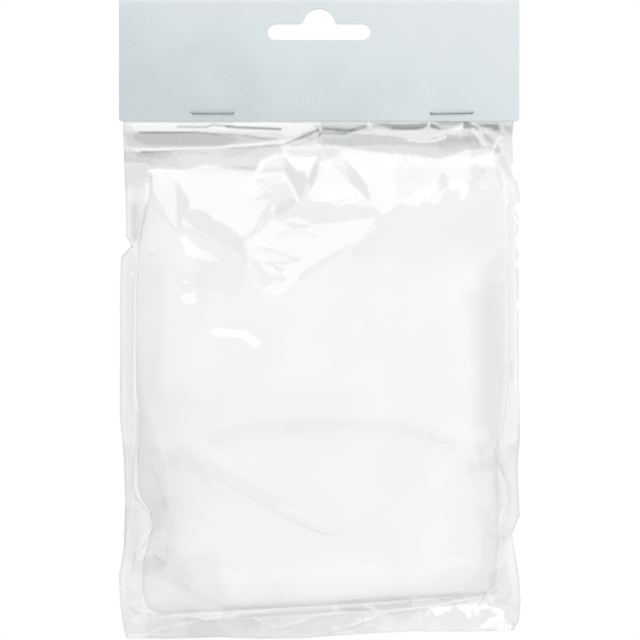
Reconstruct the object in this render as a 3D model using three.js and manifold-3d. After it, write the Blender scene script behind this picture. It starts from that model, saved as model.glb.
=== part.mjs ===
// Hanging retail pack of a shower cap: a folded film cap in a clear film bag,
// closed by a folded header card and two wire staples.
// Millimetres, +Z up, front towards -Y. The origin is where a display peg bears in the hang slot.

import * as THREE from "three";
import { mergeVertices } from "three/addons/utils/BufferGeometryUtils.js";
import Module from "manifold-3d";

const wasm = await Module();
wasm.setup();

// Header card: one strip of board folded over the bag's mouth
const cardWidth = 124;
const cardHeight = 37.5;
const boardThickness = 0.45;
const cardCornerRadius = 0.8;

// Hang slot: a wide slot with a round crown that centres the peg
const slotWidth = 32;
const slotHeight = 5;
const slotCrownRadius = 5;
const slotCrownRise = 4.7;
const slotShoulderRadius = 1.2;
const slotTopMargin = 2.7;

// Film of the bag, drawn thicker than the real 0.04 so that it is a workable solid
const filmThickness = 0.25;
const plyGap = 0.2;
const cardFilmGap = 0.3;

// Bag mouth: the flat end of the bag that the card grips
const mouthInset = 22.5;
const neckDrop = 2;
const neckGap = 0.4;
const neckDrawIn = 1.5;

// Staples: wire crown in front, legs through the card, clinched behind
const wireDiameter = 0.5;
const stapleCrown = 13;
const stapleTail = 3.6;
const stapleBendRadius = 0.6;
const stapleSeatGap = 0.15;
const stapleHoleGap = 0.3;
const stapleEdgeDistance = 2.4;
const stapleLeftOffset = -32.9;
const stapleRightOffset = 41;
const stapleRightTurn = THREE.MathUtils.degToRad(-1.1);

// Bag below the neck: two webs welded along the sides and the bottom
const bagWidth = 124;
const sideWeld = 2;
const neckSpread = 26;
const bagBottomMargin = 9;
const bagBottomSlope = 0.02;
const bagCornerRadius = 4;

// Folded cap: a front fold and a back fold, joined round the bottom
const capTopDrop = 15;
const capLength = 135;
const capFrontThickness = 6.8;
const capBackThickness = 6.4;
const capTopThickness = 0.8;
const capEdgeThickness = 0.4;
const capFoldGap = 0.8;
const capFoldDepth = 5;
const capTopTaper = 70;
const capTopFullness = 1.5;
const capSideFullness = 4;
const capBottomRound = 12;
const capCornerRadius = 9;
const capTopSlope = 0.02;
const capBottomSlope = 0.06;
const capSideGapLeft = 3.6;
const capSideGapRight = 2.2;
const capDrawInLeft = 10;
const capDrawInRight = 3;
const capDrawInTop = 78;
const capDrawInSpan = 16;
const capSeatGap = 0.4;
const capTravel = 5;
const filmStandOff = 1.7;

// Cap mouth: the elastic hem lies on the front fold as a flattened loop
const mouthDrop = 102.5;
const mouthOffset = 4;
const mouthHalfWidth = 41;
const mouthRise = 9;
const mouthFall = 24;
const mouthVee = 0.65;
const mouthSpread = 9;
const elasticDiameter = 1.2;
const elasticGap = 0.35;
const hemWall = 0.3;
const hemSlit = 0.5;
const hemSeatGap = 0.45;
const hemProud = 0.3;

// Smoothness of the facets
const weldDistance = 1e-4;
const curveSteps = 8;
const wireSides = 8;
const wireSteps = 50;
const legHoleSides = 12;
const capStations = 19;
const capRows = 15;
const capInsideRows = 5;
const webStations = 23;
const webRows = 13;
const roundRows = 6;
const seatSamples = 8;
const hemSteps = 44;
const hemArcPoints = 7;
const elasticSides = 6;

// Places that follow from the sizes above
const mouthHalfDepth = plyGap / 2 + filmThickness;
const boardInner = mouthHalfDepth + cardFilmGap;
const boardOuter = boardInner + boardThickness;
const cardTop = slotTopMargin;
const cardBottom = cardTop - cardHeight;
const neckHeight = cardBottom - neckDrop;
const stapleHeight = cardBottom + stapleEdgeDistance;
const wireRadius = wireDiameter / 2;
const cavityHalfWidth = bagWidth / 2 - sideWeld;
const capTop = cardBottom - capTopDrop;
const capBottom = capTop - capLength;
const capLeft = cavityHalfWidth - capSideGapLeft;
const capRight = cavityHalfWidth - capSideGapRight;
const bagBottom = capBottom - capSeatGap - bagBottomMargin;
const hemRadius = elasticDiameter / 2 + elasticGap + hemWall;
const mouthHeight = cardBottom - mouthDrop;
const mouthDip = 2 * hemRadius + hemSeatGap - hemProud;

const coatedBoard = { color: 0xdbe1e5, roughness: 0.55, metalness: 0 };
const clearFilm = { color: 0xe6ebee, roughness: 0.12, metalness: 0, transparent: true, opacity: 0.3 };
const capFilm = { color: 0xf4f4f1, roughness: 0.5, metalness: 0 };
const elasticRubber = { color: 0xf1efe9, roughness: 0.8, metalness: 0 };
const stapleWire = { color: 0xaeb3b6, roughness: 0.3, metalness: 1 };

const group = new THREE.Group();
group.name = "shower_cap_hang_pack";

function addPart(name, geometry, finish) {
  geometry.computeVertexNormals();
  const mesh = new THREE.Mesh(geometry, new THREE.MeshStandardMaterial(finish));
  mesh.name = name;
  group.add(mesh);
  return mesh;
}

function solidOf(geometry) {
  const bare = geometry.index ? geometry.toNonIndexed() : geometry.clone();
  bare.deleteAttribute("normal");
  bare.deleteAttribute("uv");
  const merged = mergeVertices(bare, weldDistance);
  const vertProperties = new Float32Array(merged.attributes.position.array);
  const triVerts = new Uint32Array(merged.index.array);
  return new wasm.Manifold(new wasm.Mesh({ numProp: 3, vertProperties, triVerts }));
}

function geometryOf(solid) {
  const mesh = solid.getMesh();
  const geometry = new THREE.BufferGeometry();
  geometry.setAttribute("position", new THREE.BufferAttribute(mesh.vertProperties, 3));
  geometry.setIndex(new THREE.BufferAttribute(mesh.triVerts, 1));
  return geometry;
}

// A front-view outline (x, z) cut through the depth, centred on the pack's middle plane
function throughDepth(outline, depth) {
  const settings = { depth, bevelEnabled: false, curveSegments: curveSteps };
  const geometry = new THREE.ExtrudeGeometry(outline, settings);
  geometry.rotateX(Math.PI / 2);
  geometry.translate(0, depth / 2, 0);
  return geometry;
}

// A side-view outline (y, z) drawn out across the width
function acrossWidth(outline, width) {
  const settings = { depth: width, bevelEnabled: false, curveSegments: curveSteps };
  const geometry = new THREE.ExtrudeGeometry(outline, settings);
  const sideways = new THREE.Matrix4().makeBasis(
    new THREE.Vector3(0, 1, 0),
    new THREE.Vector3(0, 0, 1),
    new THREE.Vector3(1, 0, 0),
  );
  geometry.applyMatrix4(sideways);
  geometry.translate(-width / 2, 0, 0);
  return geometry;
}

// Rings of points joined into one skin: closed round as a loop, or capped at both ends
function loft(rings, isLoop) {
  const count = rings[0].length;
  const positions = [];
  const index = [];
  for (const ring of rings) {
    for (const point of ring) {
      positions.push(point.x, point.y, point.z);
    }
  }
  const spans = isLoop ? rings.length : rings.length - 1;
  for (let i = 0; i < spans; i += 1) {
    const here = i * count;
    const next = ((i + 1) % rings.length) * count;
    for (let j = 0; j < count; j += 1) {
      const k = (j + 1) % count;
      index.push(here + j, here + k, next + j);
      index.push(here + k, next + k, next + j);
    }
  }
  if (!isLoop) {
    const last = (rings.length - 1) * count;
    const flat = (ring) => ring.map((point) => new THREE.Vector2(point.y, point.z));
    for (const [a, b, c] of THREE.ShapeUtils.triangulateShape(flat(rings[0]), [])) {
      index.push(a, c, b);
    }
    for (const [a, b, c] of THREE.ShapeUtils.triangulateShape(flat(rings[rings.length - 1]), [])) {
      index.push(last + a, last + b, last + c);
    }
  }
  const geometry = new THREE.BufferGeometry();
  geometry.setAttribute("position", new THREE.Float32BufferAttribute(positions, 3));
  geometry.setIndex(index);
  return geometry;
}

// Header card

function slotOutline(path) {
  const straightTop = -slotCrownRise;
  const endRadius = slotHeight / 2;
  const endX = slotWidth / 2 - endRadius;
  const endZ = straightTop - endRadius;
  const crownZ = -slotCrownRadius;
  const shoulderZ = straightTop + slotShoulderRadius;
  const reach = slotCrownRadius + slotShoulderRadius;
  const shoulderX = Math.sqrt(reach ** 2 - (shoulderZ - crownZ) ** 2);
  const tangent = Math.atan2(shoulderZ - crownZ, shoulderX);
  path.moveTo(-shoulderX, straightTop);
  path.absarc(-shoulderX, shoulderZ, slotShoulderRadius, -Math.PI / 2, -tangent, false);
  path.absarc(0, crownZ, slotCrownRadius, Math.PI - tangent, tangent, true);
  path.absarc(shoulderX, shoulderZ, slotShoulderRadius, Math.PI + tangent, Math.PI * 1.5, false);
  path.absarc(endX, endZ, endRadius, Math.PI / 2, -Math.PI / 2, true);
  path.absarc(-endX, endZ, endRadius, -Math.PI / 2, -Math.PI * 1.5, true);
  path.closePath();
  return path;
}

function cardOutline() {
  const half = cardWidth / 2;
  const shape = new THREE.Shape();
  shape.moveTo(-half, cardTop + boardOuter);
  shape.lineTo(-half, cardBottom + cardCornerRadius);
  shape.absarc(
    -half + cardCornerRadius, cardBottom + cardCornerRadius, cardCornerRadius, Math.PI, Math.PI * 1.5, false,
  );
  shape.absarc(
    half - cardCornerRadius, cardBottom + cardCornerRadius, cardCornerRadius, -Math.PI / 2, 0, false,
  );
  shape.lineTo(half, cardTop + boardOuter);
  shape.closePath();
  return shape;
}

function foldedBoard() {
  const foldZ = cardTop - boardOuter;
  const shape = new THREE.Shape();
  shape.moveTo(-boardOuter, cardBottom);
  shape.lineTo(-boardOuter, foldZ);
  shape.absarc(0, foldZ, boardOuter, Math.PI, 0, true);
  shape.lineTo(boardOuter, cardBottom);
  shape.lineTo(boardInner, cardBottom);
  shape.lineTo(boardInner, foldZ);
  shape.absarc(0, foldZ, boardInner, 0, Math.PI, false);
  shape.lineTo(-boardInner, cardBottom);
  shape.closePath();
  return acrossWidth(shape, cardWidth);
}

const staples = [
  { name: "staple_left", offset: stapleLeftOffset, turn: 0 },
  { name: "staple_right", offset: stapleRightOffset, turn: stapleRightTurn },
];

const throughCut = 4 * boardOuter;
const legHoles = [];
for (const staple of staples) {
  for (const side of [-1, 1]) {
    const reach = (side * stapleCrown) / 2;
    const hole = new THREE.CylinderGeometry(
      wireRadius + stapleHoleGap, wireRadius + stapleHoleGap, throughCut, legHoleSides,
    );
    const x = staple.offset + reach * Math.cos(staple.turn);
    const z = stapleHeight - reach * Math.sin(staple.turn);
    hole.translate(x, 0, z);
    legHoles.push(solidOf(hole));
  }
}

let card = solidOf(foldedBoard()).intersect(solidOf(throughDepth(cardOutline(), throughCut)));
card = card.subtract(solidOf(throughDepth(slotOutline(new THREE.Shape()), throughCut)));
for (const hole of legHoles) {
  card = card.subtract(hole);
}
addPart("header_card", geometryOf(card), coatedBoard);

// Bag mouth: both plies, joined along the side welds and open at each end

function rectangle(path, halfWidth, halfDepth) {
  path.moveTo(-halfWidth, -halfDepth);
  path.lineTo(halfWidth, -halfDepth);
  path.lineTo(halfWidth, halfDepth);
  path.lineTo(-halfWidth, halfDepth);
  path.closePath();
  return path;
}

const mouthHalfWidthBag = bagWidth / 2 - neckDrawIn;
const mouthTop = cardBottom + mouthInset;
const mouthBottom = neckHeight + neckGap;
const mouthSection = rectangle(new THREE.Shape(), mouthHalfWidthBag, mouthHalfDepth);
mouthSection.holes.push(rectangle(new THREE.Path(), mouthHalfWidthBag - sideWeld, plyGap / 2));
const mouthTube = new THREE.ExtrudeGeometry(mouthSection, { depth: mouthTop - mouthBottom, bevelEnabled: false });
mouthTube.translate(0, 0, mouthBottom);
let mouth = solidOf(mouthTube);
for (const hole of legHoles) {
  mouth = mouth.subtract(hole);
}
addPart("bag_mouth", geometryOf(mouth), clearFilm);

// Staples

function stapleWirePath() {
  const halfCrown = stapleCrown / 2;
  const seat = boardOuter + stapleSeatGap + wireRadius;
  const corners = [
    new THREE.Vector3(-halfCrown + stapleTail, seat, 0),
    new THREE.Vector3(-halfCrown, seat, 0),
    new THREE.Vector3(-halfCrown, -seat, 0),
    new THREE.Vector3(halfCrown, -seat, 0),
    new THREE.Vector3(halfCrown, seat, 0),
    new THREE.Vector3(halfCrown - stapleTail, seat, 0),
  ];
  const path = new THREE.CurvePath();
  let from = corners[0];
  for (let i = 1; i < corners.length - 1; i += 1) {
    const before = corners[i - 1].clone().sub(corners[i]).setLength(stapleBendRadius).add(corners[i]);
    const after = corners[i + 1].clone().sub(corners[i]).setLength(stapleBendRadius).add(corners[i]);
    path.add(new THREE.LineCurve3(from, before));
    path.add(new THREE.QuadraticBezierCurve3(before, corners[i], after));
    from = after;
  }
  path.add(new THREE.LineCurve3(from, corners[corners.length - 1]));
  return path;
}

const wireSection = new THREE.Shape();
for (let i = 0; i < wireSides; i += 1) {
  const angle = (2 * Math.PI * i) / wireSides;
  const x = wireRadius * Math.cos(angle);
  const y = wireRadius * Math.sin(angle);
  if (i === 0) {
    wireSection.moveTo(x, y);
  } else {
    wireSection.lineTo(x, y);
  }
}
wireSection.closePath();

for (const staple of staples) {
  const settings = { steps: wireSteps, bevelEnabled: false, extrudePath: stapleWirePath() };
  const mesh = addPart(staple.name, new THREE.ExtrudeGeometry(wireSection, settings), stapleWire);
  mesh.position.set(staple.offset, 0, stapleHeight);
  mesh.rotation.y = staple.turn;
}

// Soft profiles shared by the cap and the bag that follows it

const clamp01 = (value) => Math.min(1, Math.max(0, value));
const taper = (value) => 1 - (1 - clamp01(value)) ** capTopFullness;
const roundOff = (value) => Math.sqrt(1 - (1 - clamp01(value)) ** 2);
const smooth = (value) => clamp01(value) ** 2 * (3 - 2 * clamp01(value));
const spread = (t) => 0.5 * t + 0.25 * (1 - Math.cos(Math.PI * t));

const capSide = (u) => (1 - Math.min(1, Math.abs(u)) ** capSideFullness) ** 0.9;
const bagSide = (u) => (1 - Math.min(1, Math.abs(u)) ** 6) ** 0.7;

// Heights of the rows of points: down the face, then round the bottom
function rowsDown(top, bottom, round, rows) {
  const heights = [];
  for (let j = 0; j < rows; j += 1) {
    heights.push(top + (bottom + round - top) * spread(j / (rows - 1)));
  }
  for (let j = 1; j <= roundRows; j += 1) {
    heights.push(bottom + round * (1 - Math.sin((j / roundRows) * (Math.PI / 2))));
  }
  return heights;
}

// Height lost at a rounded corner, a distance in from the edge
function cornerRise(fromEdge, radius) {
  const into = Math.max(0, radius - fromEdge);
  return radius - Math.sqrt(Math.max(0, radius ** 2 - into ** 2));
}

// Folded cap

const capHalf = (u) => (u < 0 ? capLeft : capRight);

function capTopAt(u) {
  const x = u * capHalf(u);
  return capTop + capTopSlope * x - cornerRise(capHalf(u) - Math.abs(x), capCornerRadius);
}

function capX(u, z) {
  const drawn = u < 0 ? capDrawInLeft : capDrawInRight;
  const low = smooth((capTop - capDrawInTop - z) / capDrawInSpan);
  return u * (capHalf(u) - drawn * low);
}

function capBottomAt(u) {
  const x = capX(u, capBottom);
  const edge = capX(u < 0 ? -1 : 1, capBottom);
  return capBottom + capBottomSlope * x + cornerRise(Math.abs(edge - x), capCornerRadius);
}

// How far the mouth's gathers draw the front fold in
function mouthHollow(x, z) {
  const across = (x - mouthOffset) / (mouthHalfWidth + mouthSpread);
  const middle = mouthHeight + (mouthRise - mouthFall) / 2;
  const along = (z - middle) / ((mouthRise + mouthFall) / 2 + mouthSpread);
  const near = across ** 2 + along ** 2;
  return mouthDip * Math.exp(-(near ** 2) / 2);
}

function capThickness(u, z, full) {
  const fromTop = taper((capTopAt(u) - z) / capTopTaper);
  const fromBottom = roundOff((z - capBottomAt(u)) / capBottomRound);
  const depth = capTopThickness + (full - capTopThickness) * fromTop;
  return capEdgeThickness + (depth - capEdgeThickness) * capSide(u) * fromBottom;
}

function capFrontAt(u, z) {
  const thickness = capThickness(u, z, capFrontThickness);
  const hollow = mouthHollow(capX(u, z), z) * capSide(u);
  return capFoldGap / 2 + Math.max(capEdgeThickness, thickness - hollow);
}

function capBackAt(u, z) {
  return capFoldGap / 2 + capThickness(u, z, capBackThickness);
}

function capRing(u) {
  const top = capTopAt(u);
  const bottom = capBottomAt(u);
  const outside = rowsDown(top, bottom, capBottomRound, capRows);
  const inside = rowsDown(top, bottom + capFoldDepth, capBottomRound, capInsideRows);
  const gap = capFoldGap / 2;
  const ring = [];
  for (const z of outside) {
    ring.push(new THREE.Vector3(capX(u, z), -capFrontAt(u, z), z));
  }
  for (const z of [...outside].reverse()) {
    ring.push(new THREE.Vector3(capX(u, z), capBackAt(u, z), z));
  }
  for (const z of inside) {
    ring.push(new THREE.Vector3(capX(u, z), gap, z));
  }
  for (const z of [...inside].reverse()) {
    ring.push(new THREE.Vector3(capX(u, z), -gap, z));
  }
  return ring;
}

const capRings = [];
for (let i = 0; i < capStations; i += 1) {
  const t = (2 * i) / (capStations - 1) - 1;
  capRings.push(capRing(Math.sin((t * Math.PI) / 2)));
}
addPart("cap_crown", loft(capRings, false), capFilm);

// Elastic hem of the cap's mouth: a channel of film closed round the elastic, in a flattened loop

function capFrontBehind(x, z) {
  const edge = capX(x < 0 ? -1 : 1, z);
  return capFrontAt(Math.min(1, x / edge) * Math.sign(edge), z);
}

// The hem lies on the highest part of the fold under its own width
function mouthPoint(angle) {
  const lift = Math.sin(angle);
  const across = Math.cos(angle);
  const x = mouthOffset + mouthHalfWidth * across;
  const sag = mouthVee * (1 - Math.abs(across)) - (1 - mouthVee) * lift;
  const z = mouthHeight + (lift > 0 ? mouthRise * lift : -mouthFall * sag);
  let seat = capFrontBehind(x, z);
  for (let i = 0; i < seatSamples; i += 1) {
    const turn = (2 * Math.PI * i) / seatSamples;
    const reach = 2 * hemRadius;
    seat = Math.max(seat, capFrontBehind(x + reach * Math.cos(turn), z + reach * Math.sin(turn)));
  }
  return new THREE.Vector3(x, -(seat + hemSeatGap + hemRadius), z);
}

const mouthPoints = [];
for (let i = 0; i < hemSteps; i += 1) {
  mouthPoints.push(mouthPoint((2 * Math.PI * i) / hemSteps));
}
const mouthLoop = new THREE.CatmullRomCurve3(mouthPoints, true);

function channelRing(i) {
  const at = mouthLoop.getPointAt(i / hemSteps);
  const along = mouthLoop.getTangentAt(i / hemSteps);
  const depth = new THREE.Vector3(0, -1, 0);
  const inward = new THREE.Vector3().crossVectors(depth, along).normalize();
  const forward = new THREE.Vector3().crossVectors(along, inward).normalize();
  const bore = hemRadius - hemWall;
  const ring = [];
  const arc = (radius, fromAngle, toAngle) => {
    for (let j = 0; j < hemArcPoints; j += 1) {
      const angle = fromAngle + ((toAngle - fromAngle) * j) / (hemArcPoints - 1);
      const point = at.clone();
      point.addScaledVector(inward, radius * Math.cos(angle));
      point.addScaledVector(forward, radius * Math.sin(angle));
      ring.push(point);
    }
  };
  const outerSlit = Math.asin(hemSlit / 2 / hemRadius);
  const boreSlit = Math.asin(hemSlit / 2 / bore);
  arc(hemRadius, outerSlit, 2 * Math.PI - outerSlit);
  arc(bore, 2 * Math.PI - boreSlit, boreSlit);
  return ring;
}

const hemRings = [];
for (let i = 0; i < hemSteps; i += 1) {
  hemRings.push(channelRing(i));
}
addPart("cap_hem", loft(hemRings, true), capFilm);

const elasticLoop = new THREE.TubeGeometry(mouthLoop, hemSteps, elasticDiameter / 2, elasticSides, true);
elasticLoop.deleteAttribute("normal");
elasticLoop.deleteAttribute("uv");
addPart("cap_elastic", mergeVertices(elasticLoop, weldDistance), elasticRubber);

// Bag: the front and back webs stand off the cap and meet in flat welds

const floorAt = (x) => capBottom - capSeatGap + capBottomSlope * x;
const neckLength = capTopTaper - 3 * capTravel;
const webBottomRound = capBottomRound + filmStandOff;

function webDepth(x, z, full) {
  const fromNeck = taper((neckHeight - neckGap - z) / neckLength);
  const fromFloor = roundOff((z - floorAt(x)) / webBottomRound);
  return plyGap / 2 + full * bagSide(x / cavityHalfWidth) * fromNeck * fromFloor;
}

function webRing(u, side, full) {
  const edgeDistance = (1 - Math.abs(u)) * (bagWidth / 2);
  const top = neckHeight - neckGap;
  const bottom = bagBottom + bagBottomSlope * u * (bagWidth / 2) + cornerRise(edgeDistance, bagCornerRadius);
  const floor = floorAt((u * bagWidth) / 2);
  const heights = [...rowsDown(top, floor, webBottomRound, webRows), bottom];
  const inner = [];
  const outer = [];
  for (const z of heights) {
    const narrow = neckDrawIn * (1 - smooth((top - z) / neckSpread));
    const x = u * (bagWidth / 2 - narrow);
    const y = webDepth(x, z, full);
    inner.push(new THREE.Vector3(x, side * y, z));
    outer.push(new THREE.Vector3(x, side * (y + filmThickness), z));
  }
  return side < 0 ? [...outer, ...inner.reverse()] : [...inner, ...outer.reverse()];
}

function web(side, full) {
  const rings = [];
  for (let i = 0; i < webStations; i += 1) {
    const t = (2 * i) / (webStations - 1) - 1;
    rings.push(webRing(Math.sin((t * Math.PI) / 2), side, full));
  }
  return loft(rings, false);
}

const frontStandOff = capFoldGap / 2 + capFrontThickness + filmStandOff;
const backStandOff = capFoldGap / 2 + capBackThickness + filmStandOff;
addPart("bag_front_film", web(-1, frontStandOff), clearFilm);
addPart("bag_back_film", web(1, backStandOff), clearFilm);

export default group;
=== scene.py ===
import math

import bpy
import numpy as np
from mathutils.geometry import delaunay_2d_cdt
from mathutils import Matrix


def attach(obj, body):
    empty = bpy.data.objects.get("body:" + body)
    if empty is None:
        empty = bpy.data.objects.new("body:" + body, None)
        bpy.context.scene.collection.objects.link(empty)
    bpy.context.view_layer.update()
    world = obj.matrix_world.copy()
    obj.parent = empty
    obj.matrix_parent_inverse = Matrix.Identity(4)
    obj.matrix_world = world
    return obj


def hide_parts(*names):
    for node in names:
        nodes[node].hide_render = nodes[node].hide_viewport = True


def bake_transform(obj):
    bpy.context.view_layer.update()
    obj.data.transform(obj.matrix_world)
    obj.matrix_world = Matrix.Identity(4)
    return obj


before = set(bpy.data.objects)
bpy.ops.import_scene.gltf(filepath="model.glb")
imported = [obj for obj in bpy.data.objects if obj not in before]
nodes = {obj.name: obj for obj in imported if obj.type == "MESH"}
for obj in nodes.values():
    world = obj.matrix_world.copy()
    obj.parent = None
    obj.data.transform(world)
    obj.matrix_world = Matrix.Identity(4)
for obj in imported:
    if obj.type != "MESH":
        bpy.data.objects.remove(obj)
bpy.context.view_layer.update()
print("frame loaded with", len(nodes), "solids")

# The photograph's own frame, 640 by 640 pixels: 0.31 mm a pixel on the front of the pack. Outlines and lines are
# columns and rows of that frame, other lengths are in millimetres unless a note says otherwise.
photo = {"pixel": 0.31, "axisColumn": 319.6, "originRow": 8.5}


def acrossOf(column):  # millimetres right of the centre line
    return (np.asarray(column, float) - photo["axisColumn"]) * photo["pixel"]


def heightOf(row):  # millimetres above the peg's seat
    return (photo["originRow"] - np.asarray(row, float)) * photo["pixel"]


def columnOf(across):
    return np.asarray(across, float) / photo["pixel"] + photo["axisColumn"]


def rowOf(height):
    return photo["originRow"] - np.asarray(height, float) / photo["pixel"]


def easeOut(value, power=2):
    return 1 - (1 - np.clip(value, 0, 1)) ** power


def roundOff(value):  # quarter of a circle, from the edge of a fold to its full depth
    return np.sqrt(np.maximum(0, easeOut(value)))


def smoothStep(value):
    value = np.clip(value, 0, 1)
    return value * value * (3 - 2 * value)


def bell(value):
    return np.exp(-value ** 2)


def along(line, value):  # second number of a list of pairs, read at the first
    pairs = sorted(line)
    return np.interp(value, [pair[0] for pair in pairs], [pair[1] for pair in pairs])


def edgeColumn(line, row):  # column of an upright outline at a row
    return along([(pair[1], pair[0]) for pair in line], row)


def fromSegment(x, y, start, end):  # millimetres from a line between two points
    x0, y0, dx, dy = *start, end[0] - start[0], end[1] - start[1]
    t = np.clip(((x - x0) * dx + (y - y0) * dy) / (dx * dx + dy * dy), 0, 1)
    return np.hypot(x - x0 - t * dx, y - y0 - t * dy) * photo["pixel"]


# Soft irregular swell of a few crossed waves: seed, wave length and rise of each layer
def swell(across, height, *layers, waves=12):
    total = 0
    for seed, wave, rise in layers:
        dice = np.random.default_rng(seed)
        layer = np.zeros(np.broadcast(across, height).shape)
        for _ in range(waves):
            turn, phase = dice.uniform(0, 2 * math.pi, 2)
            length = wave * dice.uniform(0.6, 1.6)
            layer += np.cos((across * math.cos(turn) + height * math.sin(turn)) * 2 * math.pi / length + phase)
        total = total + rise * (layer / math.sqrt(waves / 2))
    return total


# Materials

def hexColour(code):
    parts = [int(code[i:i + 2], 16) / 255 for i in (1, 3, 5)]
    return tuple(p / 12.92 if p <= 0.04045 else ((p + 0.055) / 1.055) ** 2.4 for p in parts) + (1.0,)


# One node with its settings and its links: a socket takes a value, a node's first output or another output of it.
# Stops are the positions and colours of a ramp.
def addNode(tree, kind, sockets=None, stops=None, **settings):
    node = tree.nodes.new("ShaderNode" + kind)
    for key, value in settings.items():
        setattr(node, key, value)
    for key, value in (sockets or {}).items():
        if isinstance(value, bpy.types.Node):
            value = value.outputs[0]
        if isinstance(value, bpy.types.NodeSocket):
            tree.links.new(value, node.inputs[key])
        else:
            node.inputs[key].default_value = value
    for i, (position, code) in enumerate(stops or []):
        marks = node.color_ramp.elements
        mark = marks[i] if i < len(marks) else marks.new(position)
        mark.position, mark.color = position, hexColour(code)
    return node


def newMaterial(name, surface):  # surface adds the material's nodes and returns the last one
    material = bpy.data.materials.new(name)
    material.use_nodes = True
    tree = material.node_tree
    tree.nodes.clear()
    place = addNode(tree, "TexCoord").outputs["Object"]
    addNode(tree, "OutputMaterial", {"Surface": surface(tree, place)})
    return material


# Coated folding boxboard, printed pale blue grey: satin face, fine fibre mottle, painted light that pales the face
# towards the top right, white core and reverse, and a painted glow inside the fold for daylight through it. Places
# and lengths are in metres.
board = {"mottle": 0.3, "paintedLightTowards": (2.4, 0.0, 7.0), "outerDepth": 0.0009, "innerDepth": 0.00055,
         "flatFacing": 0.6, "risingFacing": 0.05, "foldHeight": 0.0015, "paintedGlow": 0.2}


def coatedBoard(tree, place):
    fibre = addNode(tree, "TexNoise", {"Vector": place, "Scale": 1700.0, "Detail": 3.0})  # 0.6 mm fibres
    cloud = addNode(tree, "TexNoise", {"Vector": place, "Scale": 55.0, "Detail": 2.0})  # 18 mm clouds
    mottle = addNode(tree, "Math", {0: fibre, 1: cloud}, operation="ADD")
    # painted light: the face colour turns paler towards the right and the top, as the lamps light it from there
    paintedLight = addNode(tree, "VectorMath", {0: place, 1: board["paintedLightTowards"]}, operation="DOT_PRODUCT")
    shade = addNode(tree, "Math", {0: mottle, 1: board["mottle"], 2: paintedLight.outputs["Value"]},
                    operation="MULTIPLY_ADD")
    face = addNode(tree, "ValToRGB", {"Fac": shade}, stops=[(0.0, "#c3cacd"), (0.2, "#cfd6d9"), (0.45, "#d3d9dc")])
    # printed on the outer faces and over the fold, bare on the cut edges and inside
    normal = addNode(tree, "NewGeometry").outputs["True Normal"]
    facing = addNode(tree, "SeparateXYZ", {0: normal}).outputs
    spot = addNode(tree, "SeparateXYZ", {0: place}).outputs
    flat = addNode(tree, "Math", {0: facing["Y"]}, operation="ABSOLUTE")
    flat = addNode(tree, "Math", {0: flat, 1: board["flatFacing"]}, operation="GREATER_THAN")
    depth = addNode(tree, "Math", {0: spot["Y"]}, operation="ABSOLUTE")
    outer = addNode(tree, "Math", {0: depth, 1: board["outerDepth"]}, operation="GREATER_THAN")
    panel = addNode(tree, "Math", {0: flat, 1: outer}, operation="MULTIPLY")
    rising = addNode(tree, "Math", {0: facing["Z"], 1: board["risingFacing"]}, operation="GREATER_THAN")
    atFold = addNode(tree, "Math", {0: spot["Z"], 1: board["foldHeight"]}, operation="GREATER_THAN")
    crown = addNode(tree, "Math", {0: rising, 1: atFold}, operation="MULTIPLY")
    printed = addNode(tree, "Math", {0: panel, 1: crown}, operation="MAXIMUM")
    colour = addNode(tree, "Mix", {0: printed, 6: hexColour("#eceded"), 7: face}, data_type="RGBA").outputs[2]
    # painted glow: the inside of the fold emits a little light, standing in for daylight through the board
    inner = addNode(tree, "Math", {0: depth, 1: board["innerDepth"]}, operation="LESS_THAN")
    inner = addNode(tree, "Math", {0: inner, 1: rising}, operation="SUBTRACT", use_clamp=True)
    paintedGlowInside = addNode(tree, "Math", {0: inner, 1: board["paintedGlow"]}, operation="MULTIPLY")
    rough = addNode(tree, "MapRange", {"Value": fibre, "To Min": 0.42, "To Max": 0.58})
    bump = addNode(tree, "Bump", {"Height": fibre, "Strength": 0.12, "Distance": 0.00004, "Normal": normal})
    return addNode(tree, "BsdfPrincipled", {
        "Base Color": colour, "Roughness": rough, "Normal": bump, "IOR": 1.48, "Specular IOR Level": 0.4,
        "Emission Strength": paintedGlowInside})


# Galvanised steel wire, drawn: bright and dull lines along the wire
def drawnWire(tree, place):
    streak = addNode(tree, "Mapping", {"Vector": place, "Scale": (90.0, 2600.0, 2600.0)})  # 11 by 0.4 mm lines
    grain = addNode(tree, "TexNoise", {"Vector": streak, "Scale": 1.0, "Detail": 2.0})
    tone = addNode(tree, "ValToRGB", {"Fac": grain}, stops=[(0.3, "#8d9296"), (0.7, "#b9bec1")])
    rough = addNode(tree, "MapRange", {"Value": grain, "To Min": 0.24, "To Max": 0.42})
    return addNode(tree, "BsdfPrincipled", {"Base Color": tone, "Roughness": rough, "Metallic": 1.0})


# Calendered PEVA cap film, milky and soft: low sheen, fine matt emboss, faint clouding where plies lie together, and
# a painted glow (emission) on its inner side that stands in for daylight through one ply
milkyFilm = {"paintedGlow": 0.1, "ior": 1.5, "specular": 0.35}


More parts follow.
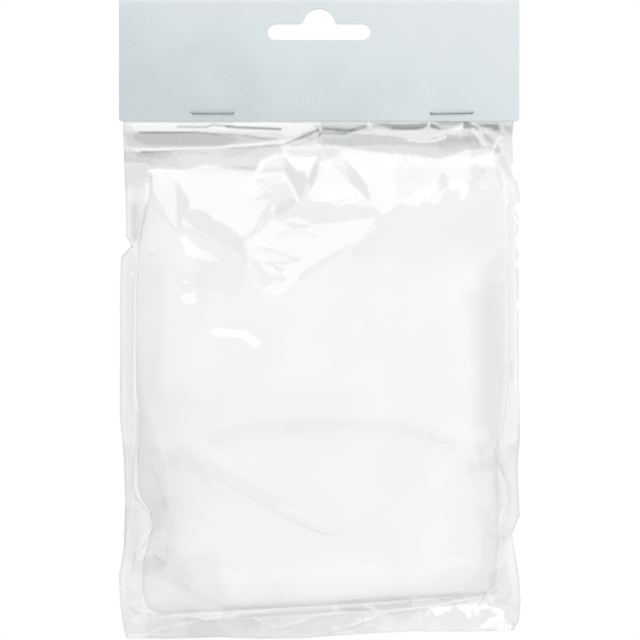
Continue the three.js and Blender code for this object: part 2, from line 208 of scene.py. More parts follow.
def capFilm(tree, place):
    # 26 mm clouds, 0.7 mm pebble
    cloud = addNode(tree, "TexNoise", {"Vector": place, "Scale": 38.0, "Detail": 3.0, "Roughness": 0.55})
    tone = addNode(tree, "ValToRGB", {"Fac": cloud}, stops=[(0.3, "#f6f6f5"), (0.55, "#f9f9f8"), (0.75, "#fbfbfa")])
    emboss = addNode(tree, "TexNoise", {"Vector": place, "Scale": 1500.0, "Detail": 1.0})
    rough = addNode(tree, "MapRange", {"Value": emboss, "To Min": 0.38, "To Max": 0.55})
    bump = addNode(tree, "Bump", {"Height": emboss, "Strength": 0.15, "Distance": 0.00005})
    inner = addNode(tree, "NewGeometry").outputs["Backfacing"]
    # painted glow: inner faces emit a little light
    paintedGlowInside = addNode(tree, "Math", {0: inner, 1: milkyFilm["paintedGlow"]}, operation="MULTIPLY")
    return addNode(tree, "BsdfPrincipled", {
        "Base Color": tone, "Roughness": rough, "Normal": bump, "IOR": milkyFilm["ior"],
        "Specular IOR Level": milkyFilm["specular"], "Emission Strength": paintedGlowInside})


# Braided elastic, soft white: thread ribs across the cord
def braidedElastic(tree, place):
    wave = addNode(tree, "TexWave", {"Vector": place, "Scale": 900.0, "Distortion": 2.0})  # 0.35 mm ribs
    rib = wave.outputs["Fac"]
    tone = addNode(tree, "ValToRGB", {"Fac": rib}, stops=[(0.2, "#dedbd4"), (0.8, "#f4f2ec")])
    bump = addNode(tree, "Bump", {"Height": rib, "Strength": 0.4, "Distance": 0.0001})
    return addNode(tree, "BsdfPrincipled", {"Base Color": tone, "Roughness": 0.8, "Normal": bump})


# Cast polypropylene bag film, clear and glossy: sharp reflections, a grey veil where it is pleated or welded, and the
# same grey as painted shade and painted dark reflection where the film lies in shadow
clearFilm = {"ior": 1.5, "shine": 1.9, "roughness": 0.04, "veilAndShade": "#b2b6b8", "deepVeilAndShade": "#6c7173"}


def bagFilm(tree, place):
    # a thin film mirrors alike from both its faces
    inner = addNode(tree, "NewGeometry").outputs["Backfacing"]
    bend = addNode(tree, "Math", {0: inner, 1: 1 / clearFilm["ior"] - clearFilm["ior"], 2: clearFilm["ior"]},
                   operation="MULTIPLY_ADD")
    fresnel = addNode(tree, "Fresnel", {"IOR": bend})
    shine = addNode(tree, "Math", {0: fresnel, 1: clearFilm["shine"]}, operation="MULTIPLY", use_clamp=True)
    clear = addNode(tree, "BsdfTransparent", {"Color": (1, 1, 1, 1)})
    gloss = addNode(tree, "BsdfGlossy", {"Color": (1, 1, 1, 1), "Roughness": clearFilm["roughness"]})
    clearFace = addNode(tree, "MixShader", {0: shine, 1: clear, 2: gloss})
    streak = addNode(tree, "TexNoise", {"Vector": place, "Scale": 240.0, "Detail": 3.0})  # 4 mm streaks
    uneven = addNode(tree, "MapRange", {"Value": streak, "To Min": 0.85, "To Max": 1.15})
    # haze mask: real pleat and weld veil, and painted shade; its darker end greys as painted fold shadow
    haze = addNode(tree, "Attribute", attribute_name="filmHazeAndShade").outputs["Fac"]
    share = addNode(tree, "Math", {0: haze, 1: uneven}, operation="MULTIPLY", use_clamp=True)
    depth = addNode(tree, "ValToRGB", {"Fac": haze}, stops=[(0.35, clearFilm["veilAndShade"]), (0.95, clearFilm["deepVeilAndShade"])])
    veilAndShade = addNode(tree, "BsdfDiffuse", {"Color": depth})
    return addNode(tree, "MixShader", {0: share, 1: clearFace, 2: veilAndShade})


# Mesh from points

def sheetFaces(rowCount, columnCount, first=0):  # rows of points joined to one sheet of quads
    index = first + np.arange(rowCount * columnCount).reshape(rowCount, columnCount)
    return np.stack([index[:-1, :-1], index[:-1, 1:], index[1:, 1:], index[1:, :-1]], axis=-1).reshape(-1, 4)


def addPiece(name, points, faces, material, flatFrom=None):  # points in millimetres
    mesh = bpy.data.meshes.new(name)
    points = np.asarray(points, float).reshape(-1, 3) * 0.001
    faces = np.asarray(faces, np.int32)[:, ::-1]  # outer side out
    mesh.vertices.add(len(points))
    mesh.vertices.foreach_set("co", points.astype(np.float32).ravel())
    mesh.loops.add(faces.size)
    mesh.loops.foreach_set("vertex_index", faces.ravel())
    mesh.polygons.add(len(faces))
    mesh.polygons.foreach_set("loop_start", np.arange(0, faces.size, faces.shape[1], dtype=np.int32))
    mesh.polygons.foreach_set("use_smooth", np.arange(len(faces)) < (flatFrom or len(faces)))
    mesh.update(calc_edges=True)
    mesh.validate()
    mesh.materials.append(material)
    piece = bpy.data.objects.new(name, mesh)
    bpy.context.scene.collection.objects.link(piece)
    return piece


# Header card, staples and elastic

steelWire = newMaterial("galvanised drawn steel wire", drawnWire)
finishes = {
    "header_card": newMaterial("coated folding boxboard", coatedBoard),
    "cap_elastic": newMaterial("braided elastic thread", braidedElastic),
    "staple_left": steelWire, "staple_right": steelWire,
}
for node, finish in finishes.items():
    nodes[node].data.materials.clear()
    nodes[node].data.materials.append(finish)
print("card, staples and elastic dressed")

# Folded cap

cap = {
    "plies": 5, "rows": 130, "faceColumns": 150, "innerColumns": 14, "bendSteps": 6, "travel": 5.0, "travelSteps": 5,
    "foldGap": 0.8, "frontThickness": 6.8, "backThickness": 6.4, "topThickness": 0.8, "edgeThickness": 0.4,
    "topTaper": 70.0, "topFullness": 1.5, "bottomRound": 12.0, "cornerRadius": 5.0, "sideFullness": 5.5,
    "sideSoftness": 1.25, "insets": [0.8, 2.4, 3.4, 4.4, 5.6], "drops": [0, 0.5, 1.0, 1.6, 2.2],
    "firstLift": 0.8, "plyLift": 1.1,  # how far each ply's fold lies above the bottom
    "bodyRows": 0.75, "bodyShare": 0.84,  # the other rows are set close, round the bottom
    "topRow": 164, "bottomRow": 603, "flapStep": 0.8, "flapSoftness": 0.9,
    "frontSwell": ((11, 46, 0.2), (12, 15, 0.05)), "backSwell": ((31, 34, 0.4), (32, 13, 0.14)),
}
capLeft = [(151, 160), (151, 172), (150, 192), (144, 216), (139, 245), (137, 300), (138, 350), (143, 390), (152, 415),
           (162, 440), (169, 465), (172, 500), (169, 520), (160, 545), (151, 568), (147, 590), (152, 612)]
capRearLeft = capLeft[:6] + [
    (136, 350), (135, 392), (138, 414), (137, 440), (135, 465), (135, 487), (140, 500), (149, 513), (151, 527),
    (146, 545), (142, 560), (141, 590), (148, 612)]
capRight = [(500, 158), (503, 168), (506, 185), (508, 215), (508, 300), (507, 380), (502, 425), (498, 455),
            (500, 490), (499, 530), (498, 570), (494, 600)]
capTopLine = [(137, 168.5), (330, 164), (508, 160)]
capBottomLine = [(150, 615), (203, 612), (343, 604.5), (500, 593)]
# The back fold's free edge, and creases pressed into it: points, height and half width
flapEdge = [(395, 150), (388, 260), (376, 380), (380, 500), (392, 620)]
backCreases = [
    ([(160, 330), (240, 318), (330, 326), (420, 312), (500, 318)], 0.6, 1.6),
    ([(200, 210), (250, 300), (262, 420), (250, 560)], 0.45, 1.3),
    ([(420, 230), (452, 300), (448, 430)], 0.5, 1.2),
    ([(170, 470), (230, 440), (300, 452)], 0.5, 1.3),
    ([(300, 520), (350, 470), (376, 400)], 0.4, 1.2),
    ([(440, 560), (470, 500), (500, 470)], 0.5, 1.2),
    ([(180, 575), (240, 540), (320, 560)], 0.4, 1.4),
]
# Soft bulges and hollows of the front fold: column, row, half width, half height in pixels, rise
capSwells = [
    (160, 412, 20, 40, -1.2), (490, 385, 14, 52, -0.8), (190, 482, 22, 22, 0.5), (185, 420, 26, 22, -0.3),
    (270, 455, 40, 12, -0.25), (340, 395, 90, 30, 0.3), (210, 560, 40, 30, 0.3), (400, 570, 70, 22, 0.25),
]
# The cap's mouth, drawn together: an arch above and a V below. Angles in radians, reach in shares of its radius.
mouth = {
    "across": 4.0, "height": -137.3, "halfWidth": 41.0, "rise": 9.0, "fall": 24.0, "vee": 0.65, "leastBow": 0.06,
    "recess": 0.35, "recessReach": 0.35, "elasticBlur": 0.09, "elasticSteps": 181,
    "drawnUp": 0.7, "drawnReach": 0.2,  # film drawn up to the hem
    "puckers": 54, "puckerWander": 2.2, "puckerBeats": 5, "puckerAt": 1.08, "puckerReach": 0.16, "puckerRise": 0.05,
}


def capEdges(height, rear=0.0):  # left and right edge at a height
    row = rowOf(height)
    left = (1 - rear) * edgeColumn(capLeft, row) + rear * edgeColumn(capRearLeft, row)
    return acrossOf(left), acrossOf(edgeColumn(capRight, row))


def capEnds(across, left, right):  # top and bottom, with their rounded corners
    into = np.maximum(0, cap["cornerRadius"] - np.minimum(across - left, right - across))
    corner = cap["cornerRadius"] - np.sqrt(np.maximum(0, cap["cornerRadius"] ** 2 - into ** 2))
    column = columnOf(across)
    return heightOf(along(capTopLine, column)) - corner, heightOf(along(capBottomLine, column)) + corner


# How far round the mouth a point is, and how far out from it: 1 is on the hem
def mouthPlace(across, height):
    x = (across - mouth["across"]) / mouth["halfWidth"]
    lift = height - mouth["height"]
    flank = np.clip(np.abs(x), 0, 1)
    bow = np.maximum(mouth["leastBow"], np.sqrt(1 - flank ** 2))
    sag = mouth["fall"] * (mouth["vee"] * (1 - flank) / bow + 1 - mouth["vee"])
    z = lift / np.where(lift > 0, mouth["rise"], sag)
    return np.arctan2(z, x), np.hypot(x, z)


# The elastic's middle line: how far out it lies, read off the solid by its angle round the mouth
elasticPoints = np.array([v.co for v in nodes["cap_elastic"].data.vertices]) * 1000
elasticAngle, _ = mouthPlace(elasticPoints[:, 0], elasticPoints[:, 2])
roundMouth = np.linspace(-math.pi, math.pi, mouth["elasticSteps"])
apart = (roundMouth[:, None] - elasticAngle[None, :] + math.pi) % (2 * math.pi) - math.pi
nearby = bell(apart / mouth["elasticBlur"]) + 1e-12
elasticDepth = -(nearby * elasticPoints[None, :, 1]).sum(axis=1) / nearby.sum(axis=1)


def elasticOut(angle):
    return np.interp(angle, roundMouth, elasticDepth)


# Thickness of one side of the folded cap at a point
def capDepth(across, height, full, front, rear=0.0, lift=0.0):
    left, right = capEdges(height, rear)
    u = np.clip(np.abs(across - (left + right) / 2) / ((right - left) / 2), 0, 1)
    side = (1 - u ** cap["sideFullness"]) ** cap["sideSoftness"]
    top, bottom = capEnds(across, left, right)
    fromTop = easeOut((top - height) / cap["topTaper"], cap["topFullness"])
    fromBottom = roundOff((height - bottom - lift) / cap["bottomRound"])
    depth = cap["topThickness"] + (full - cap["topThickness"]) * fromTop
    depth = cap["edgeThickness"] + (depth - cap["edgeThickness"]) * side * fromBottom
    column, row = columnOf(across), rowOf(height)
    if not front:
        flap = smoothStep((acrossOf(edgeColumn(flapEdge, row)) - across) / cap["flapSoftness"] + 0.5)
        crease = cap["flapStep"] * flap + swell(across, height, *cap["backSwell"])
        for line, rise, width in backCreases:
            away = np.min([fromSegment(column, row, a, b) for a, b in zip(line, line[1:])], axis=0)
            crease = crease + rise * np.exp(-away / width)
        return np.maximum(cap["edgeThickness"], depth + crease * side * fromBottom)
    angle, reach = mouthPlace(across, height)
    depth = depth - mouth["recess"] * smoothStep((1 - reach) / mouth["recessReach"]) * side
    drawn = elasticOut(angle) - cap["foldGap"] / 2 + mouth["drawnUp"]
    depth = depth + bell((reach - 1) / mouth["drawnReach"]) * (drawn - depth)
    pucker = np.cos(mouth["puckers"] * angle + mouth["puckerWander"] * np.sin(mouth["puckerBeats"] * angle))
    ends = 0.35 + 0.8 * np.abs(np.cos(angle)) ** 6  # puckered most at both ends of the mouth
    depth += mouth["puckerRise"] * ends * pucker * bell((reach - mouth["puckerAt"]) / mouth["puckerReach"]) * side
    depth += swell(across, height, *cap["frontSwell"]) * side * fromBottom
    for middle, level, wide, tall, rise in capSwells:
        depth += rise * bell(np.hypot((column - middle) / wide, (row - level) / tall)) * side
    return np.maximum(cap["edgeThickness"], depth)


# Points on the round of a fold between two lines of points, pushed out to one side
def roundFold(before, after, push):
    steps = []
    for turn in np.linspace(0, math.pi, cap["bendSteps"] + 1)[1:-1]:
        mixed = before + (after - before) * (1 - math.cos(turn)) / 2
        reach = np.abs(after[:, 1] - before[:, 1])[:, None] / 2
        steps.append(mixed + reach * math.sin(turn) * np.array(push))
    return np.array(steps)


# One ply: down the front, round the bottom fold and up the back
def capPly(level, columns):
    share = 1 - level / cap["plies"]
    lift = cap["firstLift"] + level * cap["plyLift"]
    u = np.sin(np.linspace(-1, 1, columns) * math.pi / 2)
    v, body, turn = np.linspace(0, 1, cap["rows"]), cap["bodyShare"], cap["bodyRows"]
    down = np.where(v < turn, v / turn * body, body + (1 - body) * np.sin((v - turn) / (1 - turn) * math.pi / 2))
    halves = []
    for side, rear, full in ((-1, 0.0, cap["frontThickness"]), (1, 1.0, cap["backThickness"])):
        rows = []
        for way in down:
            height = heightOf(cap["topRow"]) + way * (heightOf(cap["bottomRow"]) - heightOf(cap["topRow"]))
            for _ in range(2):
                left, right = capEdges(height, rear)
                across = (left + right) / 2 + u * ((right - left) / 2 - cap["insets"][level])
                top, bottom = capEnds(across, left, right)
                top, bottom = top - cap["drops"][level], bottom + lift
                height = top + way * (bottom - top)
            depth = capDepth(across, height, full, side < 0, rear, lift)
            rows.append(np.stack([across, side * (cap["foldGap"] / 2 + share * depth), height], axis=-1))
        halves.append(np.array(rows))
    front, back = halves
    # the bottom fold turns with the rounded corners into the side folds
    fromEdge = np.minimum(front[-1, :, 0] - front[-1, 0, 0], front[-1, -1, 0] - front[-1, :, 0])
    into = np.clip(1 - fromEdge / cap["cornerRadius"], 0, 1)
    push = np.stack([into * np.sign(u), np.zeros(columns), -np.sqrt(1 - into ** 2)], axis=-1)
    return np.concatenate([front, roundFold(front[-1], back[-1], push), back[::-1]])


def joinLines(lines):  # lines of points already placed, joined by quads
    return [np.stack([a[:-1], b[:-1], b[1:], a[1:]], axis=-1) for a, b in zip(lines, lines[1:])]


def makeCap(material):
    points, faces, strips, first, rows = [], [], [], 0, cap["rows"]
    for level in range(cap["plies"]):
        columns = cap["innerColumns"] if level else cap["faceColumns"]
        ply = capPly(level, columns)
        index = first + np.arange(ply.shape[0] * columns).reshape(-1, columns)
        points.append(ply.reshape(-1, 3))
        faces.append(sheetFaces(ply.shape[0], columns, first))
        first += index.size
        if level:  # plies are joined by side folds, right and left in turn
            strips += joinLines([edgeBefore, index[:, -1 if level % 2 else 0]])
        else:  # the outer ply goes round both sides
            for column, push in ((0, -1), (-1, 1)):
                bend = roundFold(ply[:rows, column], ply[::-1][:rows, column], (push, 0, 0))
                points.append(bend.reshape(-1, 3))
                bendIndex = first + np.arange(bend.shape[0] * rows).reshape(-1, rows)
                first += bendIndex.size
                lines = [index[:rows, column], *bendIndex, index[::-1][:rows, column]]
                faces += joinLines(lines if push > 0 else lines[::-1])
        edgeBefore = index[:, 0 if level % 2 else -1]
    return addPiece("folded_cap", np.concatenate(points), np.concatenate(faces + strips), material,
                    flatFrom=sum(map(len, faces)))


capFinish = newMaterial("calendered milky PEVA film", capFilm)
foldedCap = makeCap(capFinish)
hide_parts("cap_crown")
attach(foldedCap, "cap")
print("cap folded from", cap["plies"], "plies")

# Gathered hem

hem = {"wide": 2.2, "thick": 0.72, "steps": 520, "sides": 20, "gathers": 62, "gatherDepth": 0.04, "gatherWander": 3,
       "gatherLean": 0.6, "seed": 5, "blur": 4, "proud": 1.08, "proudReach": 0.14}


def makeHem(material):
    angle = np.linspace(-math.pi, math.pi, hem["steps"], endpoint=False)
    lift = np.sin(angle)
    sag = mouth["vee"] * (1 - np.abs(np.cos(angle))) - (1 - mouth["vee"]) * lift
    height = mouth["height"] + np.where(lift > 0, mouth["rise"] * lift, -mouth["fall"] * sag)
    across = mouth["across"] + mouth["halfWidth"] * np.cos(angle)
    middle = np.stack([across, -elasticOut(mouthPlace(across, height)[0]), height], axis=-1)
    kernel = np.ones(2 * hem["blur"] + 1) / (2 * hem["blur"] + 1)
    wrapped = np.concatenate([middle[-hem["blur"]:], middle, middle[:hem["blur"]]])
    middle = np.stack([np.convolve(wrapped[:, i], kernel, "valid") for i in range(3)], axis=-1)
    forward = np.roll(middle, -1, axis=0) - np.roll(middle, 1, axis=0)
    forward /= np.linalg.norm(forward, axis=1)[:, None]
    out = np.array([0.0, -1.0, 0.0])
    inward = np.cross(forward, out)
    inward /= np.linalg.norm(inward, axis=1)[:, None]
    dice = np.random.default_rng(hem["seed"])
    wobble = sum(np.cos(angle * k + dice.uniform(0, 6.28)) / k for k in range(3, 12))
    phase = hem["gathers"] * angle + hem["gatherWander"] * wobble
    ends = 0.6 + 1.0 * np.abs(np.cos(angle)) ** 8  # gathered most at both ends of the mouth
    rows = []
    for turn in 2 * math.pi * np.arange(hem["sides"]) / hem["sides"]:
        pleat = np.cos(phase + hem["gatherLean"] * math.sin(turn)) * hem["gatherDepth"] * ends
        radius = 1 + pleat * (0.4 + 0.6 * abs(math.sin(turn)))  # shallower on the crest
        reach = math.cos(turn) * out * hem["thick"] + math.sin(turn) * inward * hem["wide"]
        rows.append(middle + radius[:, None] * reach)
    grid = np.array(rows)
    index = np.arange(grid.shape[0] * grid.shape[1]).reshape(grid.shape[:2])
    nextSide, nextStep = np.roll(index, -1, axis=0), np.roll(index, -1, axis=1)
    faces = np.stack([index, nextStep, np.roll(nextSide, -1, axis=1), nextSide], axis=-1).reshape(-1, 4)
    return addPiece("gathered_hem", grid, faces, material)


gatheredHem = makeHem(capFinish)
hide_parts("cap_hem")
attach(gatheredHem, "cap")
print("hem gathered on the elastic")

# Bag film: shared fields on a grid of pixels

bag = {
    "gridStep": 1.0, "firstColumn": 110, "lastColumn": 530, "firstRow": 110, "lastRow": 644,
    "fineStep": 1.1, "plainStep": 1.75, "backStep": 2.5, "fineRow": 228.0, "leftColumn": 120, "span": 400.0,
    "mouthRow": 48.2, "underCardRows": 12, "lipRow": 119.5, "lipRows": 4.0, "cardRow": 121.0, "neckRow": 123,
    "floorRow": 636.0, "neckDepth": 0.35, "plyDepth": 0.25, "weldDepth": 0.12, "weldRound": 3.0, "clearance": 0.35,
    "sideFullness": 5, "sideSoftness": 0.85, "hugDrop": 7, "hugRound": 13.7, "hugSlack": 3, "hugSwell": (63, 30, 2.2),
    "weldVeil": 0.14, "weldVeilWidth": 0.4, "weldSwell": ((61, 46, 0.9), (62, 15, 0.35)), "swayWidth": 9.0,
    "swayRow": 124, "swayRows": 26.0, "freeRow": 150, "freeRows": 60, "freeStart": 0.3, "freeWidth": 2.5,
    "crush": 0.6, "crushFacets": (64, 5.0), "cornerCrush": 0.35, "cornerFacets": (65, 3.2), "cornerTilt": 0.22,
    "cornerRow": 603,
}
bagLeft = [(124, 48), (124, 121), (123.5, 130), (124.5, 160), (126, 200), (126.5, 236), (132.5, 245), (121.5, 256),
           (120.5, 300), (120.3, 415), (124, 450), (126, 500), (124.5, 545), (119.5, 575), (120.5, 600), (124, 628),
           (127, 638)]
bagRight = [(514, 48), (514, 121), (512.8, 135), (513.5, 165), (517.5, 181), (520.3, 195), (519, 230), (519, 375),
            (519.8, 395), (519.8, 440), (518, 465), (520.3, 515), (512.5, 534), (516, 555), (519, 575), (520.8, 600),
            (519, 620), (513.5, 630)]
bagBottom = [(118, 636.5), (127, 637.5), (170, 638.7), (220, 637), (260, 638), (300, 637.8), (330, 635.5),
             (380, 632.5), (420, 631), (455, 630.8), (513, 629.5), (522, 629)]

gridColumns, gridRows = np.meshgrid(np.arange(bag["firstColumn"], bag["lastColumn"], bag["gridStep"]),
                                    np.arange(bag["firstRow"], bag["lastRow"], bag["gridStep"]))
gridAcross, gridHeight = acrossOf(gridColumns), heightOf(gridRows)
cell = bag["gridStep"] * photo["pixel"]


def patch(columns, rows, margin=0):  # the part of the grid round some points
    def span(values, first, count):
        low, high = (int((v - first) / bag["gridStep"]) for v in (min(values) - margin, max(values) + margin))
        return slice(min(max(low, 0), count - 1), min(max(high, 0), count - 1) + 1)
    return span(rows, bag["firstRow"], len(gridRows)), span(columns, bag["firstColumn"], len(gridRows[0]))


def within(outline):  # which grid points lie inside an outline
    found = np.zeros(gridColumns.shape, bool)
    for (x0, y0), (x1, y1) in zip(outline, outline[1:] + outline[:1]):
        if y0 != y1:
            crosses = (gridRows < y0) != (gridRows < y1)
            found ^= crosses & (gridColumns < x0 + (gridRows - y0) * (x1 - x0) / (y1 - y0))
    return found


def fromLine(line, reach=3.0):  # millimetres from a line of points, as far as reach
    nearest = np.full(gridColumns.shape, 99.0)
    for start, end in zip(line, line[1:]):
        part = patch((start[0], end[0]), (start[1], end[1]), reach / photo["pixel"])
        nearest[part] = np.minimum(nearest[part], fromSegment(gridColumns[part], gridRows[part], start, end))
    return nearest


def soften(field, passes):
    for _ in range(passes):
        padded = np.pad(field, 1, mode="edge")
        field = (padded[:-2, 1:-1] + padded[2:, 1:-1] + padded[1:-1, :-2] + padded[1:-1, 2:] + 2 * field) / 6
    return field


def readGrid(field, columns, rows):
    x = np.clip((columns - bag["firstColumn"]) / bag["gridStep"], 0, field.shape[1] - 1.001)
    y = np.clip((rows - bag["firstRow"]) / bag["gridStep"], 0, field.shape[0] - 1.001)
    i, j = x.astype(int), y.astype(int)
    fx, fy = x - i, y - j
    upper = field[j, i] * (1 - fx) + field[j, i + 1] * fx
    lower = field[j + 1, i] * (1 - fx) + field[j + 1, i + 1] * fx
    return upper * (1 - fy) + lower * fy


def slopesOf(field):
    across, down = np.zeros(field.shape), np.zeros(field.shape)
    across[:, :-1] = np.diff(field, axis=1) / cell
    down[:-1] = np.diff(field, axis=0) / cell
    return across, down


def pullOf(across, down):  # what the slopes ask of each grid point
    pull = np.zeros(across.shape)
    pull[:, 1:] += across[:, :-1]
    pull[:, :-1] -= across[:, :-1]
    pull[1:] += down[:-1]
    pull[:-1] -= down[:-1]
    return pull / cell


# The relief whose slopes come nearest to those asked for: stiff where weight is high, free to crease where it is low,
# and flattened beyond reach millimetres. Found by conjugate gradients.
def reliefFrom(acrossSlope, downSlope, weight, reach, rounds=140, margin=60, evenWeight=0.5):
    high, wide = acrossSlope.shape
    size = (high + margin, wide + margin)
    stepX = (2 - 2 * np.cos(2 * np.pi * np.fft.rfftfreq(size[1])))[None, :] / cell ** 2
    stepY = (2 - 2 * np.cos(2 * np.pi * np.fft.fftfreq(size[0])))[:, None] / cell ** 2
    even = 1 / ((stepX + stepY) * evenWeight + 1 / reach ** 2)

    def settle(field):  # the answer for film of even weight, as a first step
        return np.fft.irfft2(np.fft.rfft2(field, size) * even, size)[:high, :wide]

    relief = np.zeros(acrossSlope.shape)
    rest = pullOf(weight * acrossSlope, weight * downSlope)
    ready = settle(rest)
    way, worth = ready.copy(), (rest * ready).sum()
    for _ in range(rounds):
        across, down = slopesOf(way)
        met = pullOf(weight * across, weight * down) + way / reach ** 2
        stride = worth / (way * met).sum()
        relief += stride * way
        rest -= stride * met
        ready = settle(rest)
        worthNow = (rest * ready).sum()
        way = ready + worthNow / worth * way
        worth = worthNow
    return relief


# Flat facets between scattered points: how film lies after it has been crushed
def facets(seed, spacing, stray=0.45):
    dice = np.random.default_rng(seed)
    step = spacing / photo["pixel"]
    points = []
    for i in range(int((gridColumns[0, -1] - gridColumns[0, 0]) / step) + 2):
        for j in range(int((gridRows[-1, 0] - gridRows[0, 0]) / step) + 2):
            points.append(((i + dice.uniform(-stray, stray)) * step + gridColumns[0, 0],
                           (j + dice.uniform(-stray, stray)) * step + gridRows[0, 0]))
    lift = dice.uniform(-1, 1, len(points))
    corners, _, triangles, sources = delaunay_2d_cdt(points, [], [], 0, 0.001)[:4]
    field = np.zeros(gridColumns.shape)
    for triangle in triangles:
        (x0, y0), (x1, y1), (x2, y2) = (corners[k] for k in triangle)
        area = (y1 - y2) * (x0 - x2) + (x2 - x1) * (y0 - y2)
        if abs(area) < 1e-9:
            continue
        part = patch((x0, x1, x2), (y0, y1, y2))
        x, y = gridColumns[part], gridRows[part]
        p = ((y1 - y2) * (x - x2) + (x2 - x1) * (y - y2)) / area
        q = ((y2 - y0) * (x - x2) + (x0 - x2) * (y - y2)) / area
        inside = (p > -1e-6) & (q > -1e-6) & (p + q < 1 + 1e-6)
        a, b, c = (lift[sources[k][0]] for k in triangle)
        field[part][inside] = (p * a + q * b + (1 - p - q) * c)[inside]
    return field


# Layers of facets: seed and spacing, then their height on plain film, at the rim and in one place more
def crumple(layers, rim, place):
    return sum(facets(seed, spacing) * (plain + atRim * rim + atPlace * place)
               for seed, spacing, plain, atRim, atPlace in layers)


def rimOf(sideWidth, floorWidth):
    return np.clip(np.exp(-fromSide / sideWidth) + np.exp(-fromFloor / floorWidth), 0, 1)


gridLeft, gridRight = edgeColumn(bagLeft, gridRows), edgeColumn(bagRight, gridRows)
acrossShare = np.clip(np.abs(2 * (gridColumns - gridLeft) / (gridRight - gridLeft) - 1), 0, 1)
sideFall = (1 - acrossShare ** bag["sideFullness"]) ** bag["sideSoftness"]
fromSide = np.clip(np.minimum(gridColumns - gridLeft, gridRight - gridColumns), 0, None) * photo["pixel"]
fromFloor = np.clip(along(bagBottom, gridColumns) - gridRows, 0, None) * photo["pixel"]
fromWeld = np.minimum(fromSide, fromFloor)
weldVeil = bag["weldVeil"] * (bell(fromSide / bag["weldVeilWidth"]) + bell(fromFloor / bag["weldVeilWidth"]))
capFloorRow = along(capBottomLine, gridColumns)
hugWidth = bag["hugRound"] + swell(gridAcross, gridHeight, bag["hugSwell"]) + bag["hugSlack"]
hugFloor = roundOff((capFloorRow + bag["hugDrop"] - gridRows) * photo["pixel"] / hugWidth)
print("film grid is", gridColumns.shape[1], "by", gridColumns.shape[0])


def capReach(full, front, sideMargin=0.4, endMargin=0.3):  # the most that the cap stands out, anywhere in its slide
    rear = 0.0 if front else 1.0
    most = np.zeros(gridColumns.shape)
    for shift in np.linspace(0, cap["travel"], cap["travelSteps"]):
        height = gridHeight - shift
        left, right = capEdges(height, rear)
        top, bottom = capEnds(gridAcross, left, right)
        inside = (gridAcross > left - sideMargin) & (gridAcross < right + sideMargin)
        inside &= (height < top + endMargin) & (height > bottom - endMargin)
        depth = cap["foldGap"] / 2 + capDepth(gridAcross, height, full, front, rear)
        if front:  # the hem stands a little proud of the fold
            angle, reach = mouthPlace(gridAcross, height)
            hemTop = elasticOut(angle) + hem["thick"] * hem["proud"]
            depth += np.maximum(0, hemTop - depth) * np.exp(-((reach - 1) / hem["proudReach"]) ** 4)
        most = np.maximum(most, np.where(inside, depth, 0))
    return most


# Both webs meet in the side welds and along the bottom, and sway and crush there together
weldSway = swell(gridAcross, gridHeight, *bag["weldSwell"]) * (1 - roundOff(fromWeld / bag["swayWidth"]))
weldSway *= smoothStep((gridRows - bag["swayRow"]) / bag["swayRows"])
beyondCap = np.maximum(acrossOf(edgeColumn(capRearLeft, gridRows)) - gridAcross,
                       gridAcross - acrossOf(edgeColumn(capRight, gridRows)))
beyondCap = np.maximum(beyondCap, (gridRows - capFloorRow) * photo["pixel"])
free = smoothStep(beyondCap / bag["freeWidth"] - bag["freeStart"])
free *= smoothStep((gridRows - bag["freeRow"]) / bag["freeRows"])
lowerRight = within([(425, 612), (440, 603), (470, 600), (490, 603), (506, 612), (507, 640), (420, 640)])
cornerCrush = bag["cornerTilt"] * (bag["cornerRow"] - gridRows) * photo["pixel"]
cornerCrush += bag["cornerCrush"] * facets(*bag["cornerFacets"])
weldSway += free * soften(bag["crush"] * facets(*bag["crushFacets"]) + lowerRight * cornerCrush, 1)

# Front web

frontFilm = {
    "full": 8.7, "restRow": 400, "restFullness": 1.4, "baseSoftness": 4, "tentRows": 60, "tentSide": 0.9,
    "tentSlope": 0.04, "looseWeight": 0.3, "tentWeight": 0.3, "facetWeight": 1.0, "creaseWeight": 1.5,
    "borderWeight": 0.05, "borderWidth": 0.4, "reliefReach": 12.0, "rimSide": 4.0, "rimFloor": 5.0,
    "crumple": ((21, 9.0, 0.08, 0.5, 0.0), (22, 4.0, 0.012, 0.25, 0.12)), "cornerSoftness": 2,
    "veilAndShade": 0.02, "shadeWithoutCap": 0.05, "emptySoftness": 6, "veilSoftness": 2, "fadeRows": 60, "mostVeil": 0.95,
    "darkWidth": 0.45, "litWidth": 0.5, "litClear": 0.85,
}
# Where the film comes to lie on the cap, and how far out it is there
landing = [(118, 190), (150, 205), (180, 228), (215, 236), (246, 250), (270, 292), (300, 280), (345, 250), (380, 226),
           (410, 212), (440, 206), (470, 198), (500, 190), (522, 185)]
landingDepths = [(118, 5.8), (246, 6.6), (345, 6.5), (400, 5.2), (450, 4.6), (522, 4.6)]
crumpledCorner = [(425, 612), (440, 604), (460, 601), (478, 597), (490, 604), (500, 612), (506, 620), (505, 629),
                  (470, 629), (440, 628), (428, 622)]
